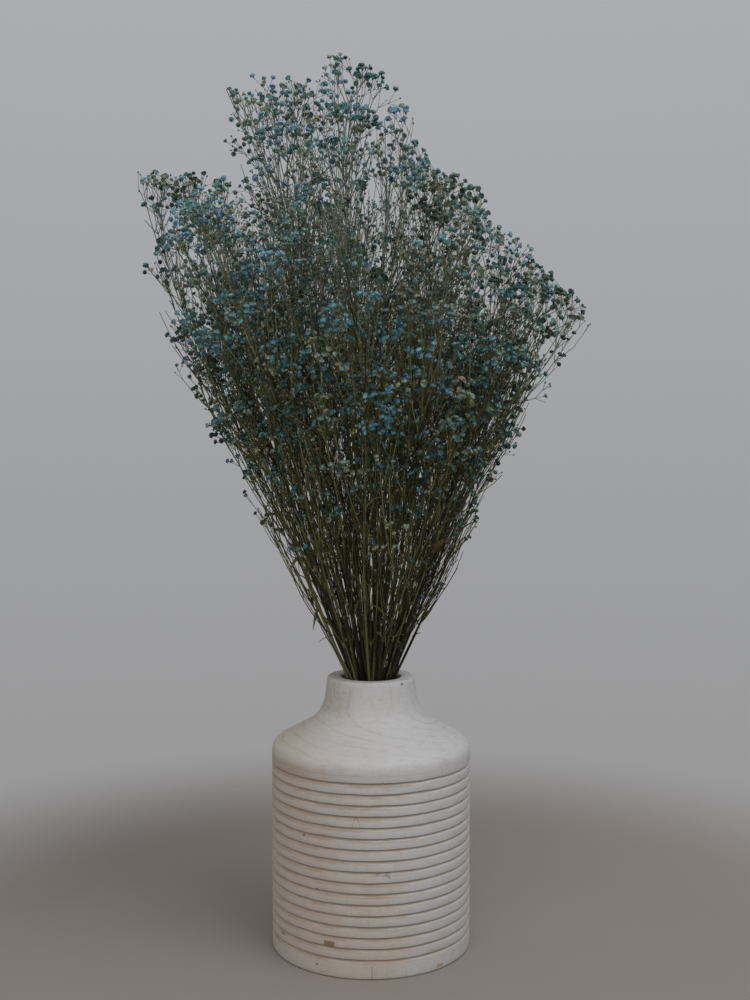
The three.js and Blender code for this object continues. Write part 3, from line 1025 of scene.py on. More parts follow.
@dataclass
class Skeleton:
    """The stems, joints, branches, forks and leaves that the plain solids have."""

    fan: Fan
    crown: Crown
    stem_radius: float = 1.8
    branch_radius: float = 1.1
    twig_radius: float = 0.9
    joint_length: float = 4.0
    joint_shares: tuple[float, ...] = (0.2, 0.42, 0.62, 0.82)
    joint_branches: tuple[int, ...] = (0, 2, 2, 1)
    joint_scatter: float = 0.07
    leafy_joints: int = 2
    low_joint_radius: float = 0.7
    back_rise: float = 0.06
    edge_drop: float = 0.14
    edge_scatter: float = 0.2
    leaf_length: float = 22.0
    leaf_width: float = 4.6
    fork_rise: float = 1.2
    fork_length: float = 27.0
    floret_length: float = 12.0
    floret_radius: float = 6.5
    tries_per_face: int = 12
    clearance: float = 0.6
    fork_lean: float = 0.62
    branch_leans: Spot = (0.42, 0.8)
    leaf_lean: float = 0.75
    leaf_drop: float = 3.0

    def __post_init__(self) -> None:
        """Plan every spray, in the order of the plain solids."""
        self.tries = 3 * self.tries_per_face
        self.thicket = Thicket(self.clearance)
        self.stems = [PlannedStem(self, number) for number in range(self.fan.stem_count)]
        for stem in self.stems:
            self.thicket.add(stem.limbs())
        for stem in self.stems:
            stem.place_tip()
        for level, count in enumerate(self.joint_branches):
            for stem in self.stems:
                for side in range(count):
                    stem.place_branch(stem.joint_at(level), side)
        for stem in self.stems:
            for joint in stem.joints[: self.leafy_joints]:
                joint.leaf = stem.plan_leaf(joint)

    def plan_fork(
        self, root: Vector, heading: Vector, upper: Vector, seed: float, grows_from: tuple[str, ...]
    ) -> Fork:
        """Plan a fork of three twigs.

        Args:
            root: Where it starts.
            heading: The heading of what it ends.
            upper: Where a turn of zero leans to.
            seed: The seed of its draws.
            grows_from: The families that it may touch.

        Returns:
            The fork.
        """
        twigs = []
        limbs = []
        swing = 0.5 * (draw(seed, 6) - 0.5)
        for arm in range(3):
            lean = scatter(self.fork_lean, 0.2, draw(seed, arm))
            length = scatter(self.fork_length, 0.25, draw(seed, 3 + arm))
            out = lean_off(heading, upper, lean, swing + (arm + 0.5) * THIRD_TURN)
            start = root + out * self.fork_rise
            neck = root + out * (length - self.floret_length / 2)
            tip = root + out * (length + self.floret_length / 2)
            twigs.append(Twig(out, neck, tip))
            limbs.append(Limb("twig", grows_from, start, neck, self.twig_radius))
            low = neck.lerp(tip, 0.4)
            high = neck.lerp(tip, 0.6)
            limbs.append(Limb("floret", (), low, high, self.floret_radius))
        return Fork(root, twigs, limbs)


class PlannedStem:
    """The plan of one main stem and what grows on it."""

    def __init__(self, skeleton: Skeleton, number: int) -> None:
        """Place the stem in the fan.

        Args:
            skeleton: The whole skeleton.
            number: The stem's number, from 0.
        """
        fan = skeleton.fan
        radius = math.sqrt((number + 0.5) / fan.stem_count)
        turn = number * GOLDEN_ANGLE + fan.turn
        self.skeleton = skeleton
        self.fan = fan
        self.number = number
        self.name = f"spray_{number + 1:02d}"
        self.family = f"stem {number}"
        self.across = radius * math.cos(turn)
        self.back = radius * math.sin(turn)
        uneven = skeleton.edge_scatter * abs(self.back) * draw(number, 1)
        drop = skeleton.edge_drop * self.back * self.back + uneven
        reach = skeleton.crown.reach(self.across) - skeleton.fork_length
        reach *= 1 + skeleton.back_rise * self.back - drop
        self.tip_z = fan.apex_z + reach / math.hypot(1, fan.slope * radius)
        self.phase = FULL_TURN * draw(number, 2)
        self.joints: list[Joint] = []
        has_low_joint = number % 2 == 0 and radius > skeleton.low_joint_radius
        for level in range(0 if has_low_joint else 1, len(skeleton.joint_shares)):
            scattered = skeleton.joint_scatter * (draw(number, 10 + level) - 0.5)
            share = skeleton.joint_shares[level] + scattered
            z = fan.vase_height + (self.tip_z - fan.vase_height) * share
            self.joints.append(Joint(z, level, f"joint {number} {level}"))
        self.fork: Fork | None = None

    def point(self, z: float) -> Vector:
        """Follow the swaying stem.

        Args:
            z: A height.

        Returns:
            The middle of the stem there.
        """
        spread = self.fan.spread(z)
        sway = self.fan.sway * max(0, spread - self.fan.mouth_spread)
        wave = z / self.fan.sway_wave
        x = self.across * spread + sway * math.sin(wave + self.phase)
        y = self.back * spread + sway * math.cos(wave + 2 * self.phase)
        return Vector((x, y, z))

    def heading(self, z: float) -> Vector:
        """Return the stem's direction at a height."""
        return (self.point(z + 1) - self.point(z - 1)).normalized()

    def miss(self, spot: Spot, below: float) -> float:
        """Measure how badly the stem suits a place, with a leaning to the front stems.

        Args:
            spot: The place's x and z.
            below: How far below it the growth would start.

        Returns:
            By how much the stem's line misses the place, and more for one at the back.
        """
        x, z = spot
        low = min(z - below, self.tip_z - 12)
        root = self.point(low)
        heading = self.heading(low)
        ahead = root + heading * ((z - low) / heading.z)
        behind = ahead.y if below else 3 * (ahead.y + 30)
        return abs(ahead.x - x) + 0.15 * max(0, behind) + 0.3 * max(0, z - self.tip_z - 60)

    def joint_at(self, level: int) -> Joint:
        """Return the joint of a level."""
        return next(joint for joint in self.joints if joint.level == level)

    def limbs(self) -> list[Limb]:
        """Divide the stem.

        Returns:
            Its straight limbs.
        """
        fan = self.fan
        levels = [fan.foot_z, fan.waist_z, (fan.waist_z + fan.vase_height) / 2, fan.vase_height]
        levels += [joint.z for joint in self.joints] + [self.tip_z]
        points = [self.point(z) for z in levels]
        pairs = zip(points, points[1:])
        return [Limb(self.family, (), low, high, self.skeleton.stem_radius) for low, high in pairs]

    def place_tip(self) -> None:
        """Turn the fork on the stem's end until it is clear."""
        root = self.point(self.tip_z)
        heading = self.heading(self.tip_z)
        upper = Vector((math.cos(self.phase), math.sin(self.phase), 0))
        for attempt in range(self.skeleton.tries):
            seed = self.number + attempt / self.skeleton.tries
            self.fork = self.skeleton.plan_fork(root, heading, upper, seed, (self.family,))
            if self.skeleton.thicket.is_clear(self.fork.limbs):
                break
        self.skeleton.thicket.add(self.fork.limbs)

    def plan_branch(self, joint: Joint, face: int, seed: int, attempt: int) -> Branch:
        """Plan a branch from one face of a joint.

        Args:
            joint: The joint.
            face: Which of its three faces.
            seed: The seed of its draws.
            attempt: Which try this is.

        Returns:
            The branch.
        """
        root = self.point(joint.z + self.skeleton.joint_length / 2)
        swing = 0 if attempt == 0 else draw(seed, 50 + attempt) - 0.5
        facing = self.phase + (face + 0.5) * THIRD_TURN + 0.9 * swing
        lean = between(*self.skeleton.branch_leans, draw(seed, 90 + attempt))
        upper = self.heading(joint.z)
        heading = lean_out(upper, lean, facing)
        height = self.tip_z - self.fan.vase_height
        longest = height * between(0.34, 0.07, (joint.z - self.fan.vase_height) / height)
        length = scatter(longest, 0.15, draw(seed, 8))
        end = root + heading * (length * (1 - 0.015 * attempt))
        fork_seed = seed + attempt / self.skeleton.tries
        fork = self.skeleton.plan_fork(end, heading, upper, fork_seed, ())
        grows_from = (self.family, joint.family)
        limb = Limb(joint.family, grows_from, root, end, self.skeleton.branch_radius)
        return Branch(face, root, heading, end, fork, [limb, *fork.limbs])

    def place_branch(self, joint: Joint, side: int) -> None:
        """Turn a branch about its joint, and shorten it a little, until it is clear.

        Args:
            joint: The joint that it grows from.
            side: Which of the joint's branches it is.
        """
        seed = self.number * 2 * len(self.skeleton.joint_shares) + joint.level * 2 + side
        first_face = math.floor(3 * draw(self.number, 20 + joint.level))
        crown = self.skeleton.crown
        for attempt in range(self.skeleton.tries):
            face = (first_face + side + attempt // self.skeleton.tries_per_face) % 3
            if any(other.face == face for other in joint.branches):
                continue
            branch = self.plan_branch(joint, face, seed, attempt)
            inside = all(crown.holds(twig.tip) for twig in branch.fork.twigs)
            if inside and self.skeleton.thicket.is_clear(branch.limbs):
                self.skeleton.thicket.add(branch.limbs)
                joint.branches.append(branch)
                return

    def plan_leaf(self, joint: Joint) -> tuple[Vector, Vector] | None:
        """Place a leaf on the first free face of a joint that is clear.

        Args:
            joint: The joint.

        Returns:
            Its root and tip, or nothing where no face is clear.
        """
        taken = [other.face for other in joint.branches]
        root = self.point(joint.z + self.skeleton.joint_length / 2)
        upper = self.heading(joint.z)
        for face in (face for face in range(3) if face not in taken):
            facing = self.phase + (face + 0.5) * THIRD_TURN
            heading = lean_out(upper, self.skeleton.leaf_lean, facing)
            tip = root + heading * self.skeleton.leaf_length
            tip.z -= self.skeleton.leaf_drop
            grows_from = (self.family, joint.family)
            limb = Limb(f"leaf {self.number}", grows_from, root, tip, self.skeleton.leaf_width / 2)
            if self.skeleton.thicket.is_clear([limb]):
                self.skeleton.thicket.add([limb])
                return root, tip
        return None


# What grows on the skeleton


@dataclass
class Extras:
    """Single sprigs, florets and twigs that one stem carries besides its regular growth."""

    sprigs: list[Spot] = field(default_factory=list)
    florets: list[Spot] = field(default_factory=list)
    twigs: list[tuple[Spot, Spot]] = field(default_factory=list)
    leaves: list[tuple[Spot, Spot, float]] = field(default_factory=list)


@dataclass
class Growth:
    """Everything that one spray has: its tubes, by rings and sides, its florets and its leaves."""

    tubes: dict[tuple[int, int], list[tuple[list[Vector], list[float], float]]] = field(default_factory=dict)
    florets: list[tuple[Vector, Vector, float, float, int]] = field(default_factory=list)
    leaves: list[tuple[list[Vector], float, float, Vector]] = field(default_factory=list)

    def tube(self, points: list[Vector], radii: list[float], sides: int, tone: float) -> None:
        """Add a tube by its middle line, the radius at each point, its sides and its tone."""
        self.tubes.setdefault((len(points), sides), []).append((points, radii, tone))


@dataclass(frozen=True)
class Habit:
    """How the fine parts of a spray grow."""

    foot_radius: float = 1.5
    mouth_radius: float = 1.2
    tip_radius: float = 0.4
    branch_radius: float = 0.5
    shoot_radius: float = 0.62
    twig_radius: float = 0.34
    pedicel_radius: float = 0.22
    floret_size: float = 4.5
    bud_share: float = 0.34
    cyme_reach: float = 10.5
    long_shoots: int = 2
    low_shoots: int = 2
    fine_twigs: int = 17
    inner_twigs: int = 28
    overhang: float = 9.0
    sprig_overhang: float = 24.0
    stem_room: float = 42.0
    branch_room: float = 30.0
    trim: float = 4.0
    bract_size: float = 1.9
    bract_share: float = 0.3
    edge_depth: float = 45.0
    inner_depth: float = 28.0
    hidden_depth: float = 70.0
    bare_below: float = 350.0
    lush_above: float = 580.0
    seed: int = 7300


# Clumps of brighter florets at the front of the crown: x, z and radius
BRIGHT_CLUMPS = (
    (-11, 532, 26), (24, 478, 40), (-118, 518, 30), (-146, 545, 40),
    (0, 505, 34), (-60, 680, 60), (-100, 610, 50), (90, 590, 30),
)
# The share of the cymes up to each row, and the tones of dye that it draws between
DYE_SHARES = ((0.36, 0.1, 0.32), (0.66, 0.3, 0.5), (0.77, 0.5, 0.8), (1, 0.86, 0.98))


@dataclass(frozen=True)
class FrontView:
    """The top of the crown as the camera sees it, on the upright plane through the vase's axis."""

    camera_x: float = 3.5
    camera_z: float = 450.7
    distance: float = 1129.8
    outline: Outline = (
        (-214, 600), (-208, 688), (-160, 683), (-143, 688), (-138, 778), (-98, 768),
        (-58, 766), (-40, 788), (-4, 789), (8, 774), (34, 746), (44, 708),
        (54, 688), (98, 675), (106, 644), (140, 624), (160, 594), (190, 572),
        (200, 540),
    )

    def holds(self, point: Vector, margin: float = 0) -> bool:
        """Say whether the camera sees a point below the top of the crown.

        Args:
            point: The point.
            margin: How far above the outline it may be.

        Returns:
            Whether it is seen below the outline.
        """
        nearer = self.distance / (self.distance + point.y)
        x = self.camera_x + (point.x - self.camera_x) * nearer
        z = self.camera_z + (point.z - self.camera_z) * nearer
        for (left, low), (right, high) in zip(self.outline, self.outline[1:]):
            if left <= x <= right:
                return z < between(low, high, (x - left) / (right - left)) + margin
        return z < self.outline[-1][1]

    def behind(self, x: float, z: float, y: float) -> Vector:
        """Return the point at a depth that the camera sees at a place of the plane."""
        farther = (self.distance + y) / self.distance
        return Vector((between(self.camera_x, x, farther), y, between(self.camera_z, z, farther)))


# Where fine sprigs reach the crown's outline, and where florets stand low on the stems, as x and z
OUTLINE_SPRIGS = (
    (-204, 680), (-190, 676), (-172, 682), (-133, 768), (-122, 768), (-112, 760),
    (-88, 750), (-62, 752), (-30, 782), (-10, 778), (8, 762), (28, 738),
    (44, 700), (72, 678), (96, 668), (88, 652), (132, 622), (160, 590),
    (186, 566), (178, 540), (-184, 590), (-172, 545),
)
INNER_SPRIGS = (
    (-46, 742), (-24, 738), (0, 728), (18, 712), (-62, 722), (-82, 728),
    (-102, 732), (-48, 700), (-12, 700), (36, 690), (62, 652), (40, 662),
    (92, 632), (-150, 650), (-128, 642), (-92, 690),
)
# How far below its end each of these starts
SPRIG_LENGTH = 80
STALK_LENGTH = 30
LOW_FLORETS = ((60, 314), (40, 306), (43, 312), (-28, 384), (-7, 372), (-2, 380), (-80, 402), (66, 372))
BARE_TWIGS = (
    ((-53, 281), (-73, 275)),
    ((-53, 281), (-37, 279)),
    ((-108, 408), (-124, 432)),
    ((-84, 344), (-96, 352)),
    ((-5, 256), (-3, 268)),
)
# Narrow dry leaves and one broad, curled one: root, tip, and greatest width
DRY_LEAVES = (
    ((60, 352), (79, 367), 9),
    ((-49, 303), (-54, 284), 3),
    ((-46, 292), (-38, 282), 2.6),
    ((-82, 346), (-90, 336), 3),
    ((-80, 346), (-72, 336), 2.8),
    ((-63, 338), (-56, 326), 2.6),
    ((-63, 338), (-70, 350), 2.4),
    ((-118, 428), (-130, 436), 2.2),
    ((34, 300), (42, 290), 2.4),
)


class SprayGrower:
    """Grows the fine parts of one spray on its planned stem."""

    def __init__(self, stem: PlannedStem, habit: Habit, extras: Extras) -> None:
        """Take the plan in hand.

        Args:
            stem: The planned stem.
            habit: How the fine parts grow.
            extras: What this stem carries besides.
        """
        self.extras = extras
        self.stem = stem
        self.crown = stem.skeleton.crown
        self.habit = habit
        self.chance = random.Random(habit.seed + stem.number)
        self.vary = self.chance.uniform
        self.bract_chance = random.Random(habit.seed + 500 + stem.number)
        self.growth = Growth()
        self.stem_tone = self.vary(0, 0.6) if stem.number % 5 else 0.05
        self.joint_tone = min(0.98, self.stem_tone + 0.25)
        self.dye_tone = self.vary(-0.06, 0.06)
        self.front = FrontView()
        self.overhang = habit.overhang
        self.top_z = stem.tip_z
        while not self.front.holds(stem.point(self.top_z) + stem.heading(self.top_z) * habit.stem_room):
            self.top_z -= habit.trim

    def grow(self) -> Growth:
        """Grow the whole spray.

        Returns:
            All its parts.
        """
        self._main_stem()
        for joint in self.stem.joints:
            self._knuckle(self.stem.point(joint.z + 2), self.stem.heading(joint.z), self._radius_at(joint.z))
            for branch in joint.branches:
                end = branch.end
                room = self.habit.branch_room
                while not self.front.holds(end + branch.heading * room) and (end - branch.root).length > room:
                    end = end - branch.heading * self.habit.trim
                self._branch(branch.root, end, self.habit.branch_radius, 0.4)
                self._fork(branch.fork, end - branch.end)
            if joint.leaf:
                self._leaf(*joint.leaf)
        self._fork(self.stem.fork, self.stem.point(self.top_z) - self.stem.point(self.stem.tip_z))
        self._long_shoots()
        self._short_shoots()
        self._fine_twigs(self.habit.fine_twigs, False)
        self._extras()
        twins = 1 + self.stem.number % 2
        for twin in range(twins):
            self._twin(twin, False)
        self._fine_twigs(self.habit.inner_twigs, True)
        for twin in range(twins, twins + (2 if self.stem.number < 12 else 1)):
            self._twin(twin, True)
        return self.growth

    def _inside(self, point: Vector) -> bool:
        """Say whether a point lies within the crown, or just outside its outline."""
        return self.crown.holds(point, self.overhang) and self.front.holds(point)

    def _lush(self, point: Vector) -> float:
        """Return how thickly florets grow at a point's height, from 0 to 1."""
        span = self.habit.lush_above - self.habit.bare_below
        return min(1, max(0, (point.z - self.habit.bare_below) / span))

    # Stems and branches

    def _level(self, share: float) -> float:
        """Return the height at a share of the way up the stem above the vase."""
        return between(self.stem.fan.vase_height, self.top_z, share)

    def _radius_at(self, z: float) -> float:
        """Taper the main stem.

        Args:
            z: A height.

        Returns:
            The stem's radius there.
        """
        habit = self.habit
        if z <= self.stem.fan.vase_height:
            return habit.foot_radius
        share = (z - self.stem.fan.vase_height) / (self.top_z - self.stem.fan.vase_height)
        return between(habit.mouth_radius, habit.tip_radius, min(1, share) ** 0.75)

    def _main_stem(self) -> None:
        """Grow the main stem from the vase's floor to its fork."""
        fan = self.stem.fan
        levels = [*np.linspace(fan.foot_z, fan.waist_z, 5)[:-1], *np.linspace(fan.waist_z, self.top_z, 37)]
        points = [self.stem.point(z) for z in levels]
        self.growth.tube(points, [self._radius_at(z) for z in levels], 7, self.stem_tone)

    def _knuckle(self, middle: Vector, heading: Vector, radius: float) -> None:
        """Grow a swollen joint round a point of a stem with a heading and a radius."""
        points = [middle + heading * run for run in (-4.5, -1.2, 0.8, 4.4)]
        self.growth.tube(points, [radius * wide for wide in (0.9, 1.4, 1.7, 0.9)], 6, self.joint_tone)

    def _arc(self, root: Vector, end: Vector, count: int, bow: float) -> list[Vector]:
        """Return the points of a bowed line.

        Args:
            root: Its start.
            end: Its end.
            count: How many points it has.
            bow: Its rise over its length.

        Returns:
            The points.
        """
        chord = end - root
        length = chord.length
        along = chord / max(length, 1e-6)
        outward = along - UPWARD * along.z
        outward = (outward - along * outward.dot(along)).normalized()
        side = along.cross(outward)
        wave = self.vary(-1, 1) * 0.022 * length
        points = []
        for step in range(count):
            t = step / (count - 1)
            swell = 4 * t * (1 - t)
            ripple = math.sin(t * FULL_TURN)
            points.append(root + chord * t + outward * (bow * length * swell) + side * (wave * ripple))
        return points

    def _branch(self, root: Vector, end: Vector, radius: float, first: float) -> None:
        """Grow a branch with its side twigs.

        Args:
            root: Its root on the stem.
            end: Its end.
            radius: Its radius at the root.
            first: The share of its length where its twigs start.
        """
        length = (end - root).length
        count = 5 if length < 60 else 8
        tone = self._twig_tone()
        points = self._arc(root, end, count, self.vary(0.01, 0.07))
        radii = [between(radius, self.habit.twig_radius, t / (count - 1)) for t in range(count)]
        self.growth.tube(points, radii, 4, tone)
        turn = self.vary(0, FULL_TURN)
        spacing = between(29, 20, self._lush(root.lerp(end, 0.7)))
        nodes = max(1, round((1 - first) * length / spacing))
        for node in range(nodes):
            share = between(first, 0.93, (node + self.vary(0.2, 0.8)) / nodes)
            place = share * (count - 1)
            low = min(count - 2, int(place))
            base = points[low].lerp(points[low + 1], place - low)
            along = (points[low + 1] - points[low]).normalized()
            self._bracts([base])
            turn += FULL_TURN / 4 + self.vary(-0.3, 0.3)
            rest = (1 - share) * length
            for side in range(2 if self.chance.random() < 0.6 else 1):
                self._side_twig(base, along, turn + side * math.pi, rest)

    def _side_twig(self, base: Vector, along: Vector, turn: float, rest: float) -> None:
        """Grow a side twig that ends in a cyme.

        Args:
            base: Its root.
            along: The direction of its branch.
            turn: The side that it grows to.
            rest: The length of the branch above it.
        """
        lean = self.vary(0.36, 0.66)
        out = lean_off(along, UPWARD if abs(along.z) < 0.95 else Vector((1, 0, 0)), lean, turn)
        out = (out + UPWARD * 0.25).normalized()
        length = min(48, rest * self.vary(0.45, 0.75) + self.vary(8, 16))
        for _ in range(3):
            end = base + out * length
            if self._inside(end + out * 9):
                break
            length *= 0.65
        else:
            return
        points = self._arc(base, end, 4, self.vary(0, 0.07))
        self._bracts(points[1:3])
        radius = self.habit.twig_radius
        self.growth.tube(points, [radius, radius * 0.95, radius * 0.9, radius * 0.85], 3, self._twig_tone())
        deep = length > 20 and self.chance.random() < 0.2 + 0.5 * self._lush(end)
        self._flowers(end, out, 2 if deep else 1)

    def _fork(self, fork: Fork, shift: Vector) -> None:
        """Grow the fork that ends a stem or a branch.

        Args:
            fork: The planned fork.
            shift: How far its stem's trimming moves it.
        """
        radius = self.habit.twig_radius
        root = fork.root + shift
        for twig in fork.twigs:
            neck = twig.neck + shift
            if not self.front.holds(neck, 6):
                neck = root.lerp(neck, 0.55)
            points = self._arc(root, neck, 4, self.vary(0, 0.05))
            self.growth.tube(points, [radius * 1.1, radius, radius, radius * 0.9], 4, self._twig_tone())
            depth = 2 if self.chance.random() < 0.4 + 0.5 * self._lush(neck) else 1
            self._flowers(neck, twig.heading, depth)

    def _shoot(self, root: Vector, heading: Vector, length: float, first: float, depth: int) -> None:
        """Grow a short shoot with side twigs and a cyme, where it stays inside the crown.

        Args:
            root: Its root.
            heading: Its direction.
            length: Its length.
            first: The share of its length where its twigs start.
            depth: How many times its cyme forks.
        """
        end = root + heading * length
        if self._inside(end + heading * 12):
            self._branch(root, end, self.habit.twig_radius * 1.3, first)
            self._flowers(end, heading, depth)

    def _long_shoots(self) -> None:
        """Grow long, nearly upright shoots from low on the stem."""
        for shoot in range(self.habit.long_shoots):
            z = self._level(between(0.1, 0.5, (shoot + self.chance.random()) / self.habit.long_shoots))
            facing = self.stem.phase + shoot * GOLDEN_ANGLE + self.vary(-0.5, 0.5)
            heading = lean_out(self.stem.heading(z), self.vary(0.14, 0.3), facing)
            root = self.stem.point(z)
            length = (self.top_z - z) * self.vary(0.35, 0.8)
            for _ in range(5):
                end = root + heading * length
                if self._inside(end + heading * 14):
                    break
                length *= 0.85
            self._knuckle(root, self.stem.heading(z), self._radius_at(z) * 0.9)
            self._branch(root, end, self.habit.shoot_radius, 0.5)
            self._flowers(end, heading, 2)
            if z < 430:
                self._remnant(root, heading, facing)

    def _short_shoots(self) -> None:
        """Grow short shoots below the crown's thickest part, and in pairs near the stem's top."""
        for shoot in range(self.habit.low_shoots):
            z = self._level(self.vary(0.12, 0.42))
            facing = self.stem.phase + 1.5 + shoot * GOLDEN_ANGLE + self.vary(-0.5, 0.5)
            heading = lean_out(self.stem.heading(z), self.vary(0.16, 0.36), facing)
            self._shoot(self.stem.point(z), heading, self.vary(55, 125), 0.6, 1)
        for step in range(3):
            z = self._level(0.7 + 0.11 * step + self.vary(-0.04, 0.04))
            facing = self.vary(0, FULL_TURN)
            for side in range(2):
                lean = self.vary(0.28, 0.55)
                heading = lean_out(self.stem.heading(z), lean, facing + side * math.pi)
                self._shoot(self.stem.point(z), heading, self.vary(24, 50), 0.55, 2)

    def _remnant(self, root: Vector, heading: Vector, facing: float) -> None:
        """Grow the curled rest of a leaf on a joint, on the side away from its shoot."""
        out = lean_out(heading, self.vary(0.6, 1.1), facing + self.vary(2.2, 4))
        self._leaf(root, root + out * self.vary(7, 16))

    def _fine_twigs(self, count: int, inner: bool) -> None:
        """Grow fine, nearly upright twigs all the way up.

        Args:
            count: How many.
            inner: Whether they are bare and well inside the crown.
        """
        for _ in range(count):
            z = self._level(self.vary(0.46 if inner else 0.14, 0.9 if inner else 0.82))
            lean = self.vary(0.07, 0.5 if inner else 0.34)
            heading = lean_out(self.stem.heading(z), lean, self.vary(0, FULL_TURN))
            root = self.stem.point(z)
            end = root + heading * self.vary(50, 120)
            shallow = inner and self.crown.depth(end) < self.habit.inner_depth
            if shallow or not self._inside(end + heading * 6):
                continue
            points = self._arc(root, end, 3 if inner else 5, self.vary(0.01, 0.06))
            self._bracts(points[1:])
            radii = list(np.linspace(0.46 if inner else 0.42, 0.3, len(points)))
            self.growth.tube(points, radii, 3, self.vary(0, 0.5))
            if not inner and self.chance.random() < 0.4:
                self._cyme(end, heading, self.habit.cyme_reach * 0.8, 1, self.vary(0.05, 0.4))

    def _extras(self) -> None:
        """Grow the sprigs at the crown's outline and the single low florets, twigs and leaves."""
        radius = self.habit.twig_radius
        self.overhang = self.habit.sprig_overhang
        for x, z in self.extras.sprigs:
            low = min(z - SPRIG_LENGTH, self.top_z - 12)
            root = self.stem.point(low)
            heading = self.stem.heading(low)
            ahead = root + heading * ((z - low) / heading.z)
            end = self.front.behind(x, z, ahead.y)
            out = (end - root).normalized()
            end -= out * 16
            self._branch(root, end, self.habit.branch_radius * 0.8, 0.36)
            self._flowers(end, out, 2)
        self.overhang = self.habit.overhang
        for x, z in self.extras.florets:
            root = self.stem.point(z - STALK_LENGTH)
            end = Vector((x, root.y - 2, z))
            out = (end - root).normalized()
            self.growth.tube(self._arc(root, end, 5, 0.08), [radius] * 5, 4, self._twig_tone())
            self._cyme(end, out, self.habit.cyme_reach * 0.7, 1, self.vary(0.5, 0.75), True)
        for start, tip in self.extras.twigs:
            root = self.stem.point(start[1])
            end = root + Vector((tip[0] - start[0], -3, tip[1] - start[1]))
            points = self._arc(root, end, 6, 0.12)
            self.growth.tube(points, [radius * wide for wide in (1.2, 1.2, 1.2, 1.1, 0.85, 0.4)], 5, 0.06)
        for start, tip, width in self.extras.leaves:
            root = self.stem.point(start[1])
            end = root + Vector((tip[0] - start[0], -6, tip[1] - start[1]))
            tone = 0.8 if width > 5 else self.vary(0.1, 0.6)
            self._leaf(root, end, width, tone, Vector((0.15, -1, 0.3)))

    def _twin(self, number: int, bare: bool) -> None:
        """Grow a thinner stem beside the main one, from a joint inside the vase's neck.

        Args:
            number: Which of the thinner stems it is.
            bare: Whether it is short, with nothing on it.
        """
        fan = self.stem.fan
        start = between(204, 216, self.chance.random())
        away = self.stem.phase + number * math.pi + self.vary(-0.6, 0.6)
        across = self.stem.across + 0.17 * math.cos(away)
        back = self.stem.back + 0.17 * math.sin(away)
        inward = min(1, 0.97 / math.hypot(across, back))
        across *= inward
        back *= inward
        top = self._level(self.vary(0.2, 0.5) if bare else self.vary(0.55, 0.9))
        phase = self.vary(0, FULL_TURN)

        def at(z: float) -> Vector:
            """Follow the thinner stem.

            Args:
                z: A height.

            Returns:
                The middle of the stem there.
            """
            spread = fan.spread(z)
            share = min(1, (z - start) / 60)
            ease = share * share * (3 - 2 * share)
            sway = 1.2 * fan.sway * max(0, spread - fan.mouth_spread)
            own = Vector((across * spread, back * spread, z))
            own += Vector((math.sin(z / 52 + phase), math.cos(z / 52 + phase), 0)) * sway
            return self.stem.point(z).lerp(own, ease)

        count = 12 if bare else 24
        radii = list(np.linspace(0.95, 0.36, count))
        tone = self.vary(0, 0.3 if bare else 0.6)
        points = [at(z) for z in np.linspace(start, top, count)]
        self.growth.tube(points, radii, 5 if bare else 6, tone)
        if bare:
            return
        for share in (0.2, 0.32, 0.43, 0.54, 0.64, 0.74, 0.84, 0.93):
            z = between(start, top, share + self.vary(-0.04, 0.04))
            root = at(z)
            heading = (at(z + 1) - at(z - 1)).normalized()
            facing = self.vary(0, FULL_TURN)
            if share < 0.7:
                self._knuckle(root, heading, between(0.8, 0.4, share))
            if z < 420 and self.chance.random() < 0.4:
                self._remnant(root, heading, facing)
            for side in range(2 if self.chance.random() < 0.4 else 1):
                out = lean_out(heading, self.vary(0.14, 0.42), facing + side * math.pi)
                length = 24 + (1 - share) * self.vary(50, 130)
                self._shoot(root, out, length, 0.5, 1)
        heading = (at(top) - at(top - 2)).normalized()
        self._flowers(at(top), heading, 2, 1.2)

    # Flowers

    def _twig_tone(self) -> float:
        """Return a tone near the stem's own for one twig."""
        own = 0.5 * (self.stem_tone + 0.6)
        return min(0.98, max(0.02, own + self.vary(-0.26, 0.3)))

    def _dye_at(self, point: Vector) -> float:
        """Return the tone of the dye for a cyme.

        Args:
            point: Where the cyme is.

        Returns:
            A tone, from darkest at 0 to faded at 1.
        """
        chance = self.chance.random()
        for x, z, radius in BRIGHT_CLUMPS:
            near = math.hypot(point.x - x, point.z - z) < radius
            if near and point.y < -20 and chance < 0.6:
                return self.vary(0.55, 0.82)
        if point.z > 670 and chance < 0.66:
            return self.vary(0.3, 0.6)
        if point.z < 500 and chance > 0.75:
            return self.vary(0.88, 0.98)
        low, high = next((low, high) for share, low, high in DYE_SHARES if chance < share)
        return self.vary(low, high)

    def _flowers(self, end: Vector, heading: Vector, depth: int, wide: float = 1) -> None:
        """End a twig in a cyme that forks to a depth, with the dye of its place."""
        self._cyme(end, heading, self.habit.cyme_reach * wide, depth, self._dye_at(end))

